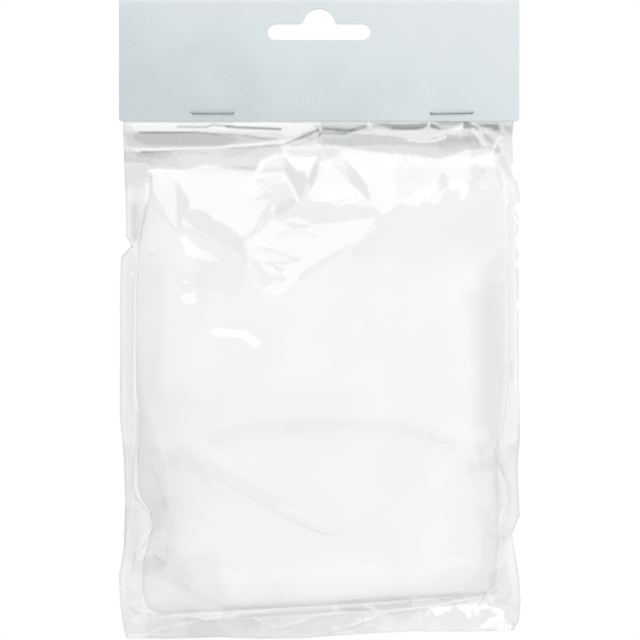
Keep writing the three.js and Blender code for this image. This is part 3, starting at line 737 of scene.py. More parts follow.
# Outlines and lines that serve more than one list
neckLip = [(124, 122), (290, 122), (313, 123), (300, 133), (288, 138), (281, 131), (228, 129), (200, 130), (124, 130)]
rightNeckBand = [(322, 123), (464, 123), (446, 130), (430, 128), (418, 130), (400, 130), (378, 128), (362, 130),
                 (348, 133), (322, 134)]
leftTuck = [(286, 157), (296, 171), (306, 172), (308, 182), (300, 203), (289, 179), (284, 172), (262, 172),
            (268, 163), (278, 157)]
tuckEdge = [(254, 233), (262, 215), (269, 201), (273, 203), (268, 219), (258, 234)]
leftFold = [(137, 258), (134, 300), (134, 330), (133, 362), (133, 392), (135, 404), (139, 414), (139, 432),
            (137, 447), (136, 470), (134, 486), (138, 498), (150, 512), (152, 526), (142, 548), (136, 557),
            (135, 576)]
rightFold = [(508, 205), (508, 260), (509, 330), (508, 380), (505, 410), (501, 435), (494, 452), (500, 466),
             (507, 482), (509, 500), (504, 513), (500, 528), (498, 548)]
# Facets that the photograph shows, dull ones first: outline, slope across and down
shownFacets = [
    ([(124, 132), (200, 132), (220, 134), (250, 136), (276, 139), (283, 142), (262, 142), (232, 145), (220, 147),
      (175, 148), (124, 147)], (0.0, -0.12)),
    ([(124, 151), (175, 150), (232, 148), (280, 145), (284, 152), (262, 160), (256, 171), (238, 169), (212, 165),
      (188, 168), (152, 168), (150, 178), (124, 180)], (0.0, 0.04)),
    (rightNeckBand, (0.0, -0.15)),
    ([(322, 136), (348, 136), (390, 139), (423, 143), (446, 138), (480, 134), (490, 148), (466, 150), (440, 159),
      (412, 155), (375, 153), (340, 148), (322, 146)], (0.0, -0.12)),
    (leftTuck, (0.22, 0.1)),
    ([(320, 150), (322, 156), (319, 172), (312, 188), (308, 181), (313, 166)], (-0.36, 0.1)),
    ([(335, 150), (342, 157), (356, 169), (363, 180), (368, 186), (370, 200), (364, 194), (358, 188), (350, 183),
      (344, 174), (338, 169), (330, 156)], (0.22, 0.1)),
    ([(272, 185), (288, 181), (300, 204), (312, 204), (335, 206), (345, 209), (366, 204), (373, 216), (345, 220),
      (320, 222), (283, 223), (275, 214), (270, 200)], (0.03, 0.04)),
    ([(277, 240), (284, 232), (296, 230), (308, 232), (318, 238), (300, 234), (286, 236)], (0.0, -0.1)),
    ([(262, 247), (272, 250), (290, 256), (300, 259), (285, 262), (270, 263), (264, 256)], (0.0, 0.02)),
    ([(275, 266), (285, 270), (284, 280), (278, 278)], (0.1, 0.0)),
    ([(176, 188), (184, 190), (190, 198), (190, 212), (196, 209), (206, 210), (214, 219), (222, 222), (240, 234),
      (250, 262), (215, 236), (194, 228), (184, 215), (180, 230), (177, 222)], (0.12, 0.05)),
    (tuckEdge, (0.24, 0.1)),
    ([(401, 155), (406, 156), (411, 165), (407, 166)], (0.24, 0.1)),
    ([(177, 186), (184, 191), (190, 198), (190, 214), (184, 217), (182, 229), (177, 222)], (0.26, 0.14)),
    ([(440, 176), (446, 172), (449, 178), (447, 188), (436, 200), (431, 200), (434, 190)], (0.22, 0.1)),
    ([(152, 168), (165, 170), (185, 169), (200, 166), (213, 166), (222, 169), (236, 166), (239, 170), (254, 171),
      (258, 178), (268, 186), (266, 191), (256, 199), (270, 200), (262, 215), (254, 232), (246, 236), (238, 232),
      (234, 228), (224, 224), (220, 218), (216, 222), (212, 214), (205, 209), (196, 208), (190, 212), (190, 197),
      (185, 196), (184, 190), (178, 184), (176, 188), (176, 222), (180, 231), (172, 222), (165, 212), (164, 205),
      (158, 201), (155, 190)], (0.0, 0.24)),
    ([(246, 237), (258, 234), (266, 221), (274, 218), (280, 223), (300, 225), (320, 223), (345, 221), (362, 218),
      (378, 215), (374, 228), (362, 240), (345, 246), (330, 254), (316, 262), (304, 270), (298, 283), (284, 293),
      (270, 298), (262, 292), (255, 280), (250, 265), (247, 250)], (0.0, 0.2)),
    ([(285, 152), (304, 147), (318, 143), (319, 150), (317, 157), (312, 166), (308, 179), (306, 171), (296, 170),
      (292, 162), (288, 156)], (0.0, 0.26)),
    ([(309, 200), (312, 190), (318, 178), (322, 173), (338, 171), (345, 176), (352, 184), (358, 189), (363, 192),
      (366, 200), (355, 202), (345, 203), (338, 208), (332, 207), (340, 198), (325, 202), (312, 202)], (-0.03, 0.26)),
    ([(338, 149), (360, 152), (375, 154), (395, 156), (401, 160), (409, 166), (412, 164), (406, 155), (414, 157),
      (425, 160), (440, 160), (455, 157), (466, 151), (478, 153), (486, 150), (492, 155), (488, 160), (486, 168),
      (481, 170), (478, 164), (474, 160), (476, 172), (480, 183), (476, 184), (470, 180), (466, 182), (465, 200),
      (461, 202), (460, 188), (450, 190), (449, 176), (444, 172), (440, 174), (436, 182), (432, 196), (424, 203),
      (420, 190), (418, 208), (416, 206), (417, 189), (408, 192), (402, 201), (395, 206), (388, 214), (380, 216),
      (374, 206), (370, 195), (366, 184), (358, 170), (350, 162), (342, 154)], (-0.05, 0.28)),
    ([(181, 230), (192, 240), (204, 252), (213, 260), (200, 258), (182, 255)], (0.0, 0.24)),
    ([(184, 216), (190, 220), (193, 227), (188, 229), (184, 226)], (0.0, 0.24)),
    ([(180, 278), (192, 281), (196, 284), (190, 285), (184, 282)], (0.0, 0.26)),
    ([(178, 298), (184, 293), (196, 288), (203, 290), (200, 297), (196, 306), (194, 330), (192, 324), (190, 306)],
      (0.0, 0.24)),
    ([(209, 355), (210, 338), (214, 326), (219, 324), (224, 328), (242, 328), (252, 332), (259, 342), (260, 348),
      (252, 348), (247, 339), (240, 335), (222, 336), (214, 338), (212, 345), (211, 355)], (0.02, 0.3)),
    (neckLip, (0.0, 0.26)),
    ([(348, 134), (362, 131), (378, 129), (400, 131), (418, 131), (430, 129), (446, 131), (464, 124), (468, 130),
      (492, 130), (480, 133), (460, 136), (446, 137), (436, 141), (423, 142), (408, 140), (390, 138), (370, 136)],
      (0.0, 0.3)),
    ([(466, 152), (476, 148), (488, 150), (491, 154), (486, 162), (482, 169), (478, 163), (474, 156)], (0.0, 0.3)),
    ([(430, 607), (447, 603), (470, 601), (481, 606), (478, 618), (462, 628), (432, 629), (426, 618)], (0.0, 0.24)),
    ([(488, 618), (503, 612), (506, 627), (480, 629)], (-0.05, 0.26)),
]
# Bright creases: points, width in pixels, slope across and down
litLines = [
    ([(128, 147.5), (140, 148.5), (152, 149.5), (175, 148.5), (200, 148), (220, 147.5), (232, 145.5), (262, 143),
      (285, 141), (292, 139)], 2.6, (0.0, 0.3)),
    ([(132, 149), (141, 151.5)], 1.6, (0.0, 0.3)),
    ([(124, 123), (175, 123)], 2.2, (0.0, 0.34)),
    ([(235, 123), (290, 123)], 2.2, (0.0, 0.34)),
    ([(152, 170.5), (170, 170.5), (190, 169.5), (206, 167)], 3.4, (0.0, 0.3)),
    ([(257, 176), (259, 167), (265, 160.5), (277, 154.5)], 3.2, (0.05, 0.3)),
    ([(260, 176.5), (268, 174), (284, 174), (290, 183), (299, 201)], 3.6, (-0.1, 0.3)),
    ([(322, 153), (328, 162), (334, 169.5), (338, 171)], 3.2, (-0.1, 0.3)),
    ([(320.5, 143), (320.5, 149)], 2.0, (0.0, 0.3)),
    ([(274, 206), (274, 220)], 2.0, (-0.1, 0.25)),
    ([(473, 129), (475.5, 132), (481, 139), (488, 149), (494, 157), (500, 167), (503, 178), (505, 198)], 3.0,
      (-0.15, 0.28)),
    ([(500, 136), (496, 144), (492, 152), (487, 159)], 2.8, (0.05, 0.3)),
    ([(501, 143), (505, 152), (510, 158)], 3.0, (-0.1, 0.3)),
    ([(408, 139.5), (423, 141.5), (436, 140.5), (446, 136.5)], 1.8, (0.0, 0.36)),
    ([(430, 123), (428, 128)], 2.0, (0.0, 0.3)),
    ([(369, 122), (371, 127)], 2.4, (0.0, 0.3)),
    ([(142, 546), (150, 531)], 2.0, (0.0, 0.28)),
    ([(138, 609), (160, 610.5), (178, 613.5)], 1.6, (0.0, 0.3)),
    ([(205, 619), (216, 616.5), (240, 611.5), (300, 605), (345, 602.5)], 2.2, (0.0, 0.28)),
    ([(127, 637), (145, 634.5), (160, 628.5), (172, 625), (192, 622.5)], 2.2, (0.0, 0.3)),
    ([(255, 617), (263, 622), (279, 627), (300, 620.5), (316, 614), (346, 612)], 2.4, (0.0, 0.3)),
    ([(328, 630), (350, 625), (375, 616), (388, 611), (420, 607), (450, 602), (476, 597)], 2.4, (0.0, 0.3)),
    ([(365, 604), (384, 612), (398, 625)], 2.0, (0.0, 0.3)),
    ([(396, 625), (426, 622), (442, 622)], 2.0, (0.0, 0.3)),
]
# Folds seen on edge, partly real plies and partly painted shade and painted dark reflection, with painted shadow
# lines under the card and under the cap: points, width in pixels, veil
foldAndShadowLines = [
    # painted shadow of the card's lower edge on the film
    ([(122, 121.7), (515, 121.7)], 1.4, 0.3),
    ([(178, 126.6), (207, 126.8), (213, 124.6), (220, 125), (228, 126)], 2.0, 0.8),
    ([(228, 126), (240, 127.3), (262, 128), (281, 129)], 3.0, 0.9),
    ([(288, 142), (298, 138.2), (308, 134), (318, 130)], 2.6, 0.5),
    ([(292, 146), (306, 142), (318, 137)], 3.0, 0.2),
    ([(315, 124.5), (321, 126), (317, 129), (322, 132), (320, 136)], 1.6, 0.35),
    ([(140, 132), (160, 132), (200, 132), (220, 133.8), (240, 134.6), (250, 135.6), (262, 138), (277, 138.5)], 2.4,
      0.5),
    ([(140, 151.8), (160, 151.3), (180, 149.8), (200, 149.3), (250, 147.2), (285, 143.5), (298, 139.5), (312, 135)],
      1.6, 0.35),
    ([(318, 127), (320, 133), (319.5, 142)], 2.4, 0.4),
    ([(474, 135), (477, 141), (479, 148)], 1.6, 0.3),
    ([(485, 134), (491, 141), (495, 147)], 1.8, 0.3),
    ([(393, 127.6), (408, 128.8), (424, 127.4)], 2.4, 0.2),
    ([(326, 128.6), (340, 129.8), (354, 129.6)], 1.8, 0.15),
    ([(350, 141), (352, 148)], 1.4, 0.12),
    ([(438, 141), (444, 147)], 1.4, 0.15),
    ([(436, 132), (420, 134)], 1.2, 0.12),
    ([(150, 174), (153, 190), (149, 206), (144, 222), (139, 242)], 3.2, 0.16),
    ([(135, 206), (134, 240)], 6.0, 0.12),
    ([(126, 236), (133, 246), (124, 257)], 1.6, 0.25),
    ([(133, 246), (146, 251), (156, 256)], 2.0, 0.14),
    ([(146, 206), (141, 222), (136, 240)], 4.0, 0.12),
    ([(277, 240), (279, 235), (286, 232.5), (296, 231.5), (308, 233), (317, 237)], 1.8, 0.1),
    ([(258, 248), (272, 250), (284, 255), (300, 258)], 3.6, 0.06),
    ([(276, 267), (284, 278)], 4.0, 0.06),
    ([(334, 207), (341, 201), (354, 198), (364, 201)], 2.0, 0.08),
    ([(404, 157), (410, 165)], 2.6, 0.07),
    (leftFold[:7], 1.6, 0.22),
    ([(139, 414), (138, 440), (135, 460), (134, 485), (137, 497), (148, 510), (152, 514), (152, 526)], 2.6, 0.26),
    ([(154, 528), (144, 546)], 1.8, 0.4),
    ([(136, 552), (134, 572)], 1.6, 0.3),
    ([(156, 553), (167, 562)], 4.0, 0.25),
    ([(168, 541), (168, 556)], 3.0, 0.16),
    ([(152, 464), (158, 478), (166, 500), (167, 508)], 5.0, 0.12),
    ([(128, 586), (132, 594)], 2.0, 0.2),
    ([(130, 606), (138, 612), (165, 614), (182, 616), (200, 618)], 1.8, 0.3),
    (rightFold, 2.0, 0.2),
    ([(511, 362), (512, 380)], 1.6, 0.3),
    ([(484, 590), (490, 604), (484, 596), (478, 606)], 1.6, 0.3),
    # painted shadow along the cap's bottom edge
    ([(497, 590.5), (470, 594.5), (440, 598), (410, 600)], 2.2, 0.3),
    ([(410, 600), (343, 605), (270, 610)], 2.2, 0.16),
    ([(201, 620), (255, 619), (279, 629), (300, 624), (330, 616), (346, 614)], 1.6, 0.18),
    ([(330, 632), (352, 627), (377, 618), (390, 613), (420, 609), (450, 604), (476, 599)], 1.6, 0.2),
]
# Creases that stand up or sink in at the sides: points, height and half width
foldLines = [
    (leftFold, -0.6, 1.4),
    ([(127, 258), (126, 300), (127, 340), (126, 372), (128, 400), (124, 420), (128, 450), (130, 490), (131, 535)],
      0.5, 1.2),
    ([(150, 462), (158, 478), (164, 500), (163, 520)], -0.5, 2.2),
    ([(148, 540), (160, 552), (168, 562), (178, 578), (196, 596)], 0.35, 1.0),
    ([(136, 556), (158, 553), (168, 562), (164, 571), (137, 573)], -0.4, 1.2),
    ([(136, 582), (150, 590), (150, 604)], 0.3, 1.0),
    (rightFold, -0.6, 1.4),
    ([(514, 200), (514, 300), (515, 370), (517, 400), (514, 440)], 0.5, 1.1),
    ([(500, 545), (508, 565), (514, 580)], 0.4, 1.2),
]
# Where pleats lie several plies deep or a weld has dulled the film, and painted shade where the card and the cap
# shade the film and its folds mirror the dark room: outline and veil, then how soft its edge is and the row where it
# has faded out
veilAndShadeOutlines = [
    ([(124, 132), (200, 132), (220, 134), (250, 136), (276, 139), (262, 142), (232, 145), (220, 147), (175, 148),
      (128, 147)], 0.34),
    ([(134, 134), (150, 132), (220, 134), (242, 139), (222, 146), (150, 145), (136, 141)], 0.17),
    ([(124, 150), (175, 149), (232, 147), (280, 144), (284, 152), (262, 160), (256, 171), (238, 169), (212, 165),
      (188, 168), (152, 168), (149, 163), (124, 161)], 0.36),
    ([(124, 160), (151, 162), (151, 184), (124, 188)], 0.19, 12),
    ([(150, 168), (212, 166), (256, 172), (290, 164), (310, 164), (330, 166), (412, 164), (486, 162), (480, 183),
      (466, 182), (450, 190), (436, 182), (424, 203), (417, 189), (402, 201), (380, 216), (374, 228), (345, 250),
      (300, 282), (268, 296), (246, 250), (214, 240), (178, 232), (150, 206)], 0.05),
    ([(338, 150), (375, 155), (412, 161), (440, 163), (466, 153), (490, 152), (487, 168), (344, 168)], -0.02, 1),
    ([(395, 158), (505, 162), (505, 184), (470, 182), (440, 176), (420, 190), (395, 200)], 0.045, 8),
    ([(285, 153), (318, 144), (319, 150), (312, 168), (292, 166)], -0.05, 1),
    (neckLip, 0.02),
    ([(340, 134), (352, 129), (430, 130), (492, 130), (446, 137), (423, 142), (390, 138)], 0.21, 1),
    ([(135, 151), (175, 151), (165, 159), (150, 157), (138, 156)], 0.16),
    (rightNeckBand, 0.38),
    ([(322, 133), (348, 133), (390, 136), (423, 141), (446, 136), (480, 133), (490, 148), (466, 150), (440, 159),
      (412, 155), (375, 152), (340, 146), (322, 144)], 0.4),
    ([(297, 139), (305, 132), (318, 129), (322, 135), (311, 140)], 0.24, 1),
    ([(476, 123), (515, 123), (513, 134), (498, 136), (488, 128)], 0.3),
    ([(440, 142), (470, 137), (476, 147), (462, 151), (438, 152)], 0.06),
    ([(323, 126.5), (336, 127.5), (350, 128.5), (368, 124), (366, 128), (352, 131.5), (336, 131), (323, 130.5)], 0.3,
      1),
    ([(372, 122.5), (412, 123.5), (430, 122.5), (429, 126), (416, 129.5), (396, 130), (384, 126.5)], 0.3, 1),
    ([(431, 122.5), (437, 125), (444, 130), (436, 129), (430, 126)], 0.4, 1),
    ([(437, 121), (464, 121), (460, 124.5), (440, 124)], 0.3, 1),
    ([(463.5, 121), (470, 122), (478, 127), (480, 129.5), (472, 128.5), (464, 129)], 0.55, 1),
    ([(474, 123), (499, 124), (501, 131), (496, 131), (493, 128), (482, 128)], 0.3, 1),
    ([(503, 126), (512, 126), (512, 133), (506, 131)], 0.22, 1),
    ([(462, 134), (470, 132), (474, 139), (472, 144), (465, 142)], 0.1, 1),
    ([(464, 121), (500, 122), (502, 130), (488, 134), (462, 134)], 0.16, 1),
    ([(447, 134), (459, 133), (458, 140), (447, 141)], 0.12, 1),
    ([(483, 134), (491, 134), (498, 142), (502, 153), (495, 154), (488, 146)], 0.33, 1),
    ([(200, 236), (244, 240), (250, 270), (236, 296), (196, 284)], 0.05, 30),
    ([(178, 274), (200, 272), (212, 290), (204, 320), (194, 336), (184, 312)], 0.03, 20),
    ([(450, 460), (505, 470), (502, 590), (450, 590)], 0.025, 90),
    ([(126, 200), (148, 200), (144, 222), (138, 246), (126, 240)], 0.08, 4),
    (leftTuck, 0.13),
    ([(320, 146), (322, 156), (319, 172), (312, 188), (308, 181), (313, 166)], 0.16),
    ([(322, 147), (336, 149), (342, 157), (356, 169), (363, 180), (368, 186), (370, 200), (364, 194), (358, 188),
      (350, 183), (344, 174), (336, 169), (324, 152)], 0.08),
    ([(272, 185), (288, 181), (298, 202), (284, 215), (276, 214), (270, 200)], 0.09),
    (tuckEdge, 0.06),
    ([(493, 148), (500, 144), (514, 176), (508, 178), (499, 162)], 0.16),
    ([(132, 204), (140, 200), (142, 222), (138, 241), (132, 236)], 0.14, 6),
    # painted shade in the hollow beside the cap's left edge
    ([(137, 400), (150, 425), (162, 450), (170, 478), (174, 500), (172, 518), (166, 528), (154, 528), (150, 513),
      (140, 500), (135, 485), (138, 440)], 0.1, 24),
    ([(137, 559), (150, 556), (158, 553), (167, 562), (164, 570), (150, 573), (138, 572)], 0.17, 4),
    ([(142, 578), (168, 572), (200, 590), (232, 606), (200, 616), (142, 608)], 0.05, 8),
    ([(150, 604), (176, 598), (203, 608), (196, 615), (160, 611)], 0.06, 3),
    # painted shade along the cap's right edge
    ([(480, 268), (507, 250), (507, 385), (501, 440), (494, 452), (484, 420), (482, 330)], 0.1, 60),
    ([(480, 505), (500, 510), (499, 584), (462, 592), (482, 560)], 0.06, 30),
    ([(464, 455), (488, 461), (506, 498), (478, 497)], 0.04, 4),
    ([(470, 500), (505, 501), (500, 528), (490, 540), (478, 520)], 0.04, 4),
    # painted shadow under the cap's bottom edge
    ([(343, 607), (400, 601), (440, 598), (478, 594), (497, 590.5), (478, 598), (440, 605), (400, 609), (343, 611)],
      0.24, 3),
    ([(120, 250), (136, 250), (135, 330), (136, 420), (132, 500), (126, 548), (118, 548)], 0.12, 3),
    # painted shade along the cap's left side
    ([(137, 262), (166, 262), (160, 400), (140, 400)], 0.05, 50),
    ([(140, 614), (200, 620), (260, 612), (345, 606), (420, 610), (398, 626), (330, 637), (200, 640), (150, 638)],
      0.14),
    ([(120, 446), (134, 446), (135, 490), (148, 514), (152, 527), (140, 552), (136, 562), (118, 562)], 0.1, 4),
    ([(118, 505), (138, 505), (143, 552), (142, 612), (150, 640), (118, 640)], 0.09, 4),
    ([(158, 498), (174, 498), (178, 550), (158, 552)], 0.07, 10),
    ([(178, 556), (218, 552), (230, 602), (196, 604), (178, 586)], 0.07, 50),
    # painted shadow under the cap's bottom edge, lightened where a crease lies
    ([(224, 605), (290, 605), (334, 606), (330, 613), (290, 614), (224, 615)], 0.15, 2),
    ([(338, 599), (412, 596), (412, 606), (372, 607), (338, 609)], 0.13, 2),
    ([(364, 612), (388, 612), (400, 622), (386, 630), (366, 625)], -0.13, 2),
    ([(440, 597), (486, 593), (486, 604), (440, 606)], 0.11, 2),
    ([(494, 458), (504, 462), (508, 500), (499, 516), (494, 490)], 0.16, 3),
    ([(496, 452), (522, 436), (522, 516), (512, 534), (504, 545), (498, 545), (509, 502), (506, 480)], 0.17, 4),
    ([(466, 290), (508, 280), (507, 395), (499, 450), (470, 456), (476, 380)], 0.06, 40),
    ([(148, 613), (215, 618), (236, 640), (148, 640)], 0.09, 3),
    ([(470, 164), (500, 168), (506, 190), (472, 184)], 0.1, 5),
    ([(150, 546), (172, 545), (196, 576), (190, 590), (164, 580)], 0.07, 8),
    ([(488, 575), (506, 560), (513, 590), (508, 606), (494, 602)], 0.18, 5),
    ([(476, 440), (502, 428), (500, 470), (480, 470)], 0.08, 6),
    ([(496, 515), (512, 530), (508, 562), (494, 562)], 0.09, 6),
    ([(185, 613), (262, 612), (262, 632), (190, 640)], 0.08, 3),
    ([(428, 566), (500, 560), (499, 588), (428, 594)], 0.025, 30),
    ([(126, 165), (150, 170), (152, 190), (146, 212), (138, 244), (128, 236), (126, 200)], 0.02, 3),
    ([(380, 216), (395, 206), (402, 201), (408, 192), (417, 189), (416, 206), (419, 208), (424, 203), (432, 196),
      (436, 182), (440, 174), (444, 172), (449, 176), (450, 190), (460, 188), (461, 202), (465, 200), (466, 182),
      (470, 180), (476, 184), (480, 183), (506, 186), (506, 330), (380, 330), (350, 250)], 0.06, 1, 290),
    ([(177, 186), (184, 190), (190, 198), (190, 212), (196, 209), (206, 210), (214, 219), (216, 223), (222, 222),
      (234, 228), (240, 234), (250, 262), (215, 236), (194, 228), (184, 215), (180, 230), (177, 222)], 0.05, 1),
    ([(256, 170), (272, 168), (284, 175), (272, 188), (266, 196), (257, 184)], 0.06, 4),
    ([(178, 440), (198, 450), (240, 476), (284, 500), (278, 508), (236, 488), (194, 466), (176, 452)], 0.05, 8),
    ([(205, 432), (250, 421), (330, 417), (400, 419), (442, 428), (436, 437), (380, 428), (320, 427), (250, 432),
      (212, 443)], 0.04, 8),
    ([(430, 606), (480, 600), (500, 612), (505, 629), (430, 629)], -0.1, 2),
    ([(238, 612), (282, 612), (280, 624), (242, 628)], 0.06, 3),
]


def frontShape():
    # ramp from the neck down to the landing, then on to the full depth
    landingRow, landingDepth = along(landing, gridColumns), along(landingDepths, gridColumns)
    ramp = np.clip((gridRows - bag["neckRow"]) / (landingRow - bag["neckRow"]), 0, 1)
    after = easeOut((gridRows - landingRow) / (frontFilm["restRow"] - landingRow), frontFilm["restFullness"])
    base = ramp * (landingDepth - bag["neckDepth"]) + after * (frontFilm["full"] - landingDepth)
    base = soften(bag["neckDepth"] + base * sideFall * hugFloor, frontFilm["baseSoftness"])
    stepX, stepY = slopesOf(base)
    shown = gridRows > bag["cardRow"]
    tent = smoothStep((landingRow + frontFilm["tentRows"] - gridRows) / frontFilm["tentRows"])
    tent = tent * shown * (acrossShare < frontFilm["tentSide"])
    weight = frontFilm["looseWeight"] + frontFilm["tentWeight"] * tent
    wantX, wantY = -stepX * tent, (frontFilm["tentSlope"] - stepY) * tent

    def ask(found, slope, stiffness):
        wantX[found], wantY[found] = slope[0] - stepX[found], slope[1] - stepY[found]
        weight[found] = stiffness

    for outline, slope in shownFacets:
        ask(within(outline) & shown, slope, frontFilm["facetWeight"])
    for outline, _ in shownFacets:  # the film creases freely along a facet's border
        border = fromLine(outline + outline[:1]) / frontFilm["borderWidth"]
        weight[:] = np.minimum(weight, np.clip(border, frontFilm["borderWeight"], 1))
    for line, wide, slope in litLines:
        ask(fromLine(line) < wide / 2 * photo["pixel"], slope, frontFilm["creaseWeight"])
    shape = base + reliefFrom(wantX, wantY, weight, frontFilm["reliefReach"])
    for line, rise, width in foldLines:
        shape += rise * np.clip(1 - fromLine(line) / width, 0, 1)
    # crushed facets: strong at the sides and below the cap, faint where the film lies on the cap
    corner = soften(within(crumpledCorner) * 1.0, frontFilm["cornerSoftness"])
    return shape + crumple(frontFilm["crumple"], rimOf(frontFilm["rimSide"], frontFilm["rimFloor"]), corner)


def frontVeilAndShade():
    # painted shade as grey veil: greyer where no cap lies behind the film, plus the listed painted shadows and dark
    # folds, on top of the pleat and weld veil
    veilAndShade = np.full(gridColumns.shape, frontFilm["veilAndShade"])
    empty = capReach(cap["frontThickness"], True) == 0
    veilAndShade += frontFilm["shadeWithoutCap"] * soften(empty * 1.0, frontFilm["emptySoftness"])
    for outline, amount, *how in veilAndShadeOutlines:
        share = soften(within(outline) * 1.0, how[0] if how else frontFilm["veilSoftness"])
        if len(how) > 1:
            share = share * smoothStep((how[1] - gridRows) / frontFilm["fadeRows"])
        veilAndShade += amount * share
    for line, wide, amount in foldAndShadowLines:
        veilAndShade += amount * bell(fromLine(line) / (wide * frontFilm["darkWidth"] * photo["pixel"]))
    for line, wide, _ in litLines:  # a crease that faces the light is clear
        veilAndShade *= 1 - frontFilm["litClear"] * bell(fromLine(line) / (wide * frontFilm["litWidth"] * photo["pixel"]))
    return np.clip(veilAndShade + weldVeil, 0, frontFilm["mostVeil"])


# Back web

backFilm = {"full": 8.4, "rampRows": 120.0, "rim": 6.0, "crumpleRow": 140, "crumpleRows": 45.0,
        "crumple": ((41, 13.0, 0.5, 0.5, 0.5), (42, 6.0, 0.12, 0.3, 0.25)), "veilAndShade": 0.05, "neckVeil": 0.1,
        "neckRow": 136, "neckRows": 12.0, "floorVeil": 0.06, "floorRow": 600, "floorRows": 14.0, "mostVeil": 0.9}


def backShape():
    ramp = easeOut((gridRows - bag["neckRow"]) / backFilm["rampRows"])
    shape = bag["neckDepth"] + (backFilm["full"] - bag["neckDepth"]) * ramp * sideFall * hugFloor
    neck = bell((gridRows - backFilm["crumpleRow"]) / backFilm["crumpleRows"])
    return shape + crumple(backFilm["crumple"], rimOf(backFilm["rim"], backFilm["rim"]), neck)


def backVeil():
    neck = backFilm["neckVeil"] * bell((gridRows - backFilm["neckRow"]) / backFilm["neckRows"])
    floor = backFilm["floorVeil"] * smoothStep((gridRows - backFilm["floorRow"]) / backFilm["floorRows"])
    return np.clip(backFilm["veilAndShade"] + weldVeil + neck + floor, 0, backFilm["mostVeil"])


def makeWeb(name, side, shape, reach, veilAndShade, across, down, material):
    shape = np.maximum(np.maximum(shape, bag["plyDepth"]), np.where(reach > 0, reach + bag["clearance"], 0))
    lip = smoothStep((gridRows - bag["lipRow"]) / bag["lipRows"])
    hold = roundOff(fromWeld / bag["weldRound"]) * lip
    depth = bag["weldDepth"] + (shape - bag["weldDepth"]) * hold + (bag["plyDepth"] - bag["weldDepth"]) * (1 - lip)
    under = np.linspace(bag["mouthRow"], bag["cardRow"], bag["underCardRows"], endpoint=False)  # behind the card
    u = np.linspace(0, 1, across)[None, :]
    v = np.concatenate([np.zeros(len(under)), (down - down[0]) / (down[-1] - down[0])])[:, None]
    columns = bag["leftColumn"] + bag["span"] * u
    for _ in range(2):
        rows = bag["cardRow"] + v * (along(bagBottom, columns) - bag["cardRow"])
        rows[:len(under)] = under[:, None]
        left, right = edgeColumn(bagLeft, rows), edgeColumn(bagRight, rows)
        columns = left + u * (right - left)
    depths, sways = readGrid(depth, columns, rows), readGrid(weldSway, columns, rows)
    depths[:len(under)], sways[:len(under)] = bag["plyDepth"], 0
    points = np.stack([acrossOf(columns), side * depths + sways, heightOf(rows)], axis=-1)
    faces = sheetFaces(points.shape[0], points.shape[1])
    piece = addPiece(name, points, faces[:, ::-side], material)
    haze = piece.data.attributes.new("filmHazeAndShade", "FLOAT", "POINT")
    haze.data.foreach_set("value", readGrid(veilAndShade, columns, rows).astype(np.float32).ravel())
    return piece


film = newMaterial("cast clear polypropylene film", bagFilm)
frontRows = np.concatenate([np.arange(bag["cardRow"], bag["fineRow"], bag["fineStep"]),
                            np.arange(bag["fineRow"], bag["floorRow"], bag["plainStep"])])
backRows = np.arange(bag["cardRow"], bag["floorRow"], bag["backStep"])
frontWeb = makeWeb("bag_front", -1, frontShape(), capReach(cap["frontThickness"], True), frontVeilAndShade(),
                   int(bag["span"] / bag["fineStep"]), frontRows, film)
backWeb = makeWeb("bag_back", 1, backShape(), capReach(cap["backThickness"], False), backVeil(),
                  int(bag["span"] / bag["backStep"]), backRows, film)
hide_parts("bag_front_film")
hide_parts("bag_back_film", "bag_mouth")
for web in (frontWeb, backWeb):
    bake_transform(web)
print("bag film laid over the cap")

# Studio, in metres

studio = {
    "floorHeight": -0.24, "floorRings": [0.001, 0.25, 0.38, 0.45], "floorSides": 96, "floorFade": 0.2,
    "floorDim": 0.55, "ambient": 0.935, "rearAmbient": 0.74, "horizon": 0.28, "zenith": 1.0,
    "lens": 200.0, "sensor": 36.0, "frameWidth": 0.1984, "cameraX": 0.00027, "cameraZ": -0.09643, "clip": (0.05, 20),
}
# Soft boxes: elevation and azimuth in degrees, distance, width, height, radiance and the point that they face
lamps = {
    "key": (34.0, 10.0, 0.95, 0.7, 0.66, 1.2, (0, 0, -0.09)),
    "right side": (12.0, 62.0, 0.42, 0.26, 0.4, 0.12, (0, 0, -0.09)),
    "upper right": (40.0, 48.0, 0.3, 0.14, 0.14, 1.2, (0.02, 0, -0.01)),
    "back fill": (16.0, 122.0, 0.9, 0.5, 0.5, 3.6, (0, 0, -0.09)),
}


# Matt white paper sweep: faint tooth, and it fades out towards its edge
def paperSweep(tree, place):
    far = addNode(tree, "VectorMath", {0: place, 1: (0, 0, -studio["floorHeight"])}, operation="ADD")
    reach = addNode(tree, "VectorMath", {0: far}, operation="LENGTH").outputs["Value"]
    fade = addNode(tree, "MapRange", {"Value": reach, "From Min": studio["floorFade"],
                                      "From Max": studio["floorRings"][-1]}, interpolation_type="SMOOTHSTEP")
    tooth = addNode(tree, "TexNoise", {"Vector": place, "Scale": 300.0})  # 3 mm tooth, coarse enough to show
    tone = addNode(tree, "ValToRGB", {"Fac": tooth}, stops=[(0.3, "#f3f3f3"), (0.7, "#f7f7f7")])
    sheet = addNode(tree, "BsdfDiffuse", {"Color": tone})
    clear = addNode(tree, "BsdfTransparent")
    mirrored = addNode(tree, "LightPath").outputs["Is Glossy Ray"]  # the film mirrors it dim, as the room
    dim = addNode(tree, "Math", {0: mirrored, 1: studio["floorDim"]}, operation="MULTIPLY")
    hidden = addNode(tree, "Math", {0: fade, 1: dim}, operation="MAXIMUM")
    return addNode(tree, "MixShader", {0: hidden, 1: sheet, 2: clear})


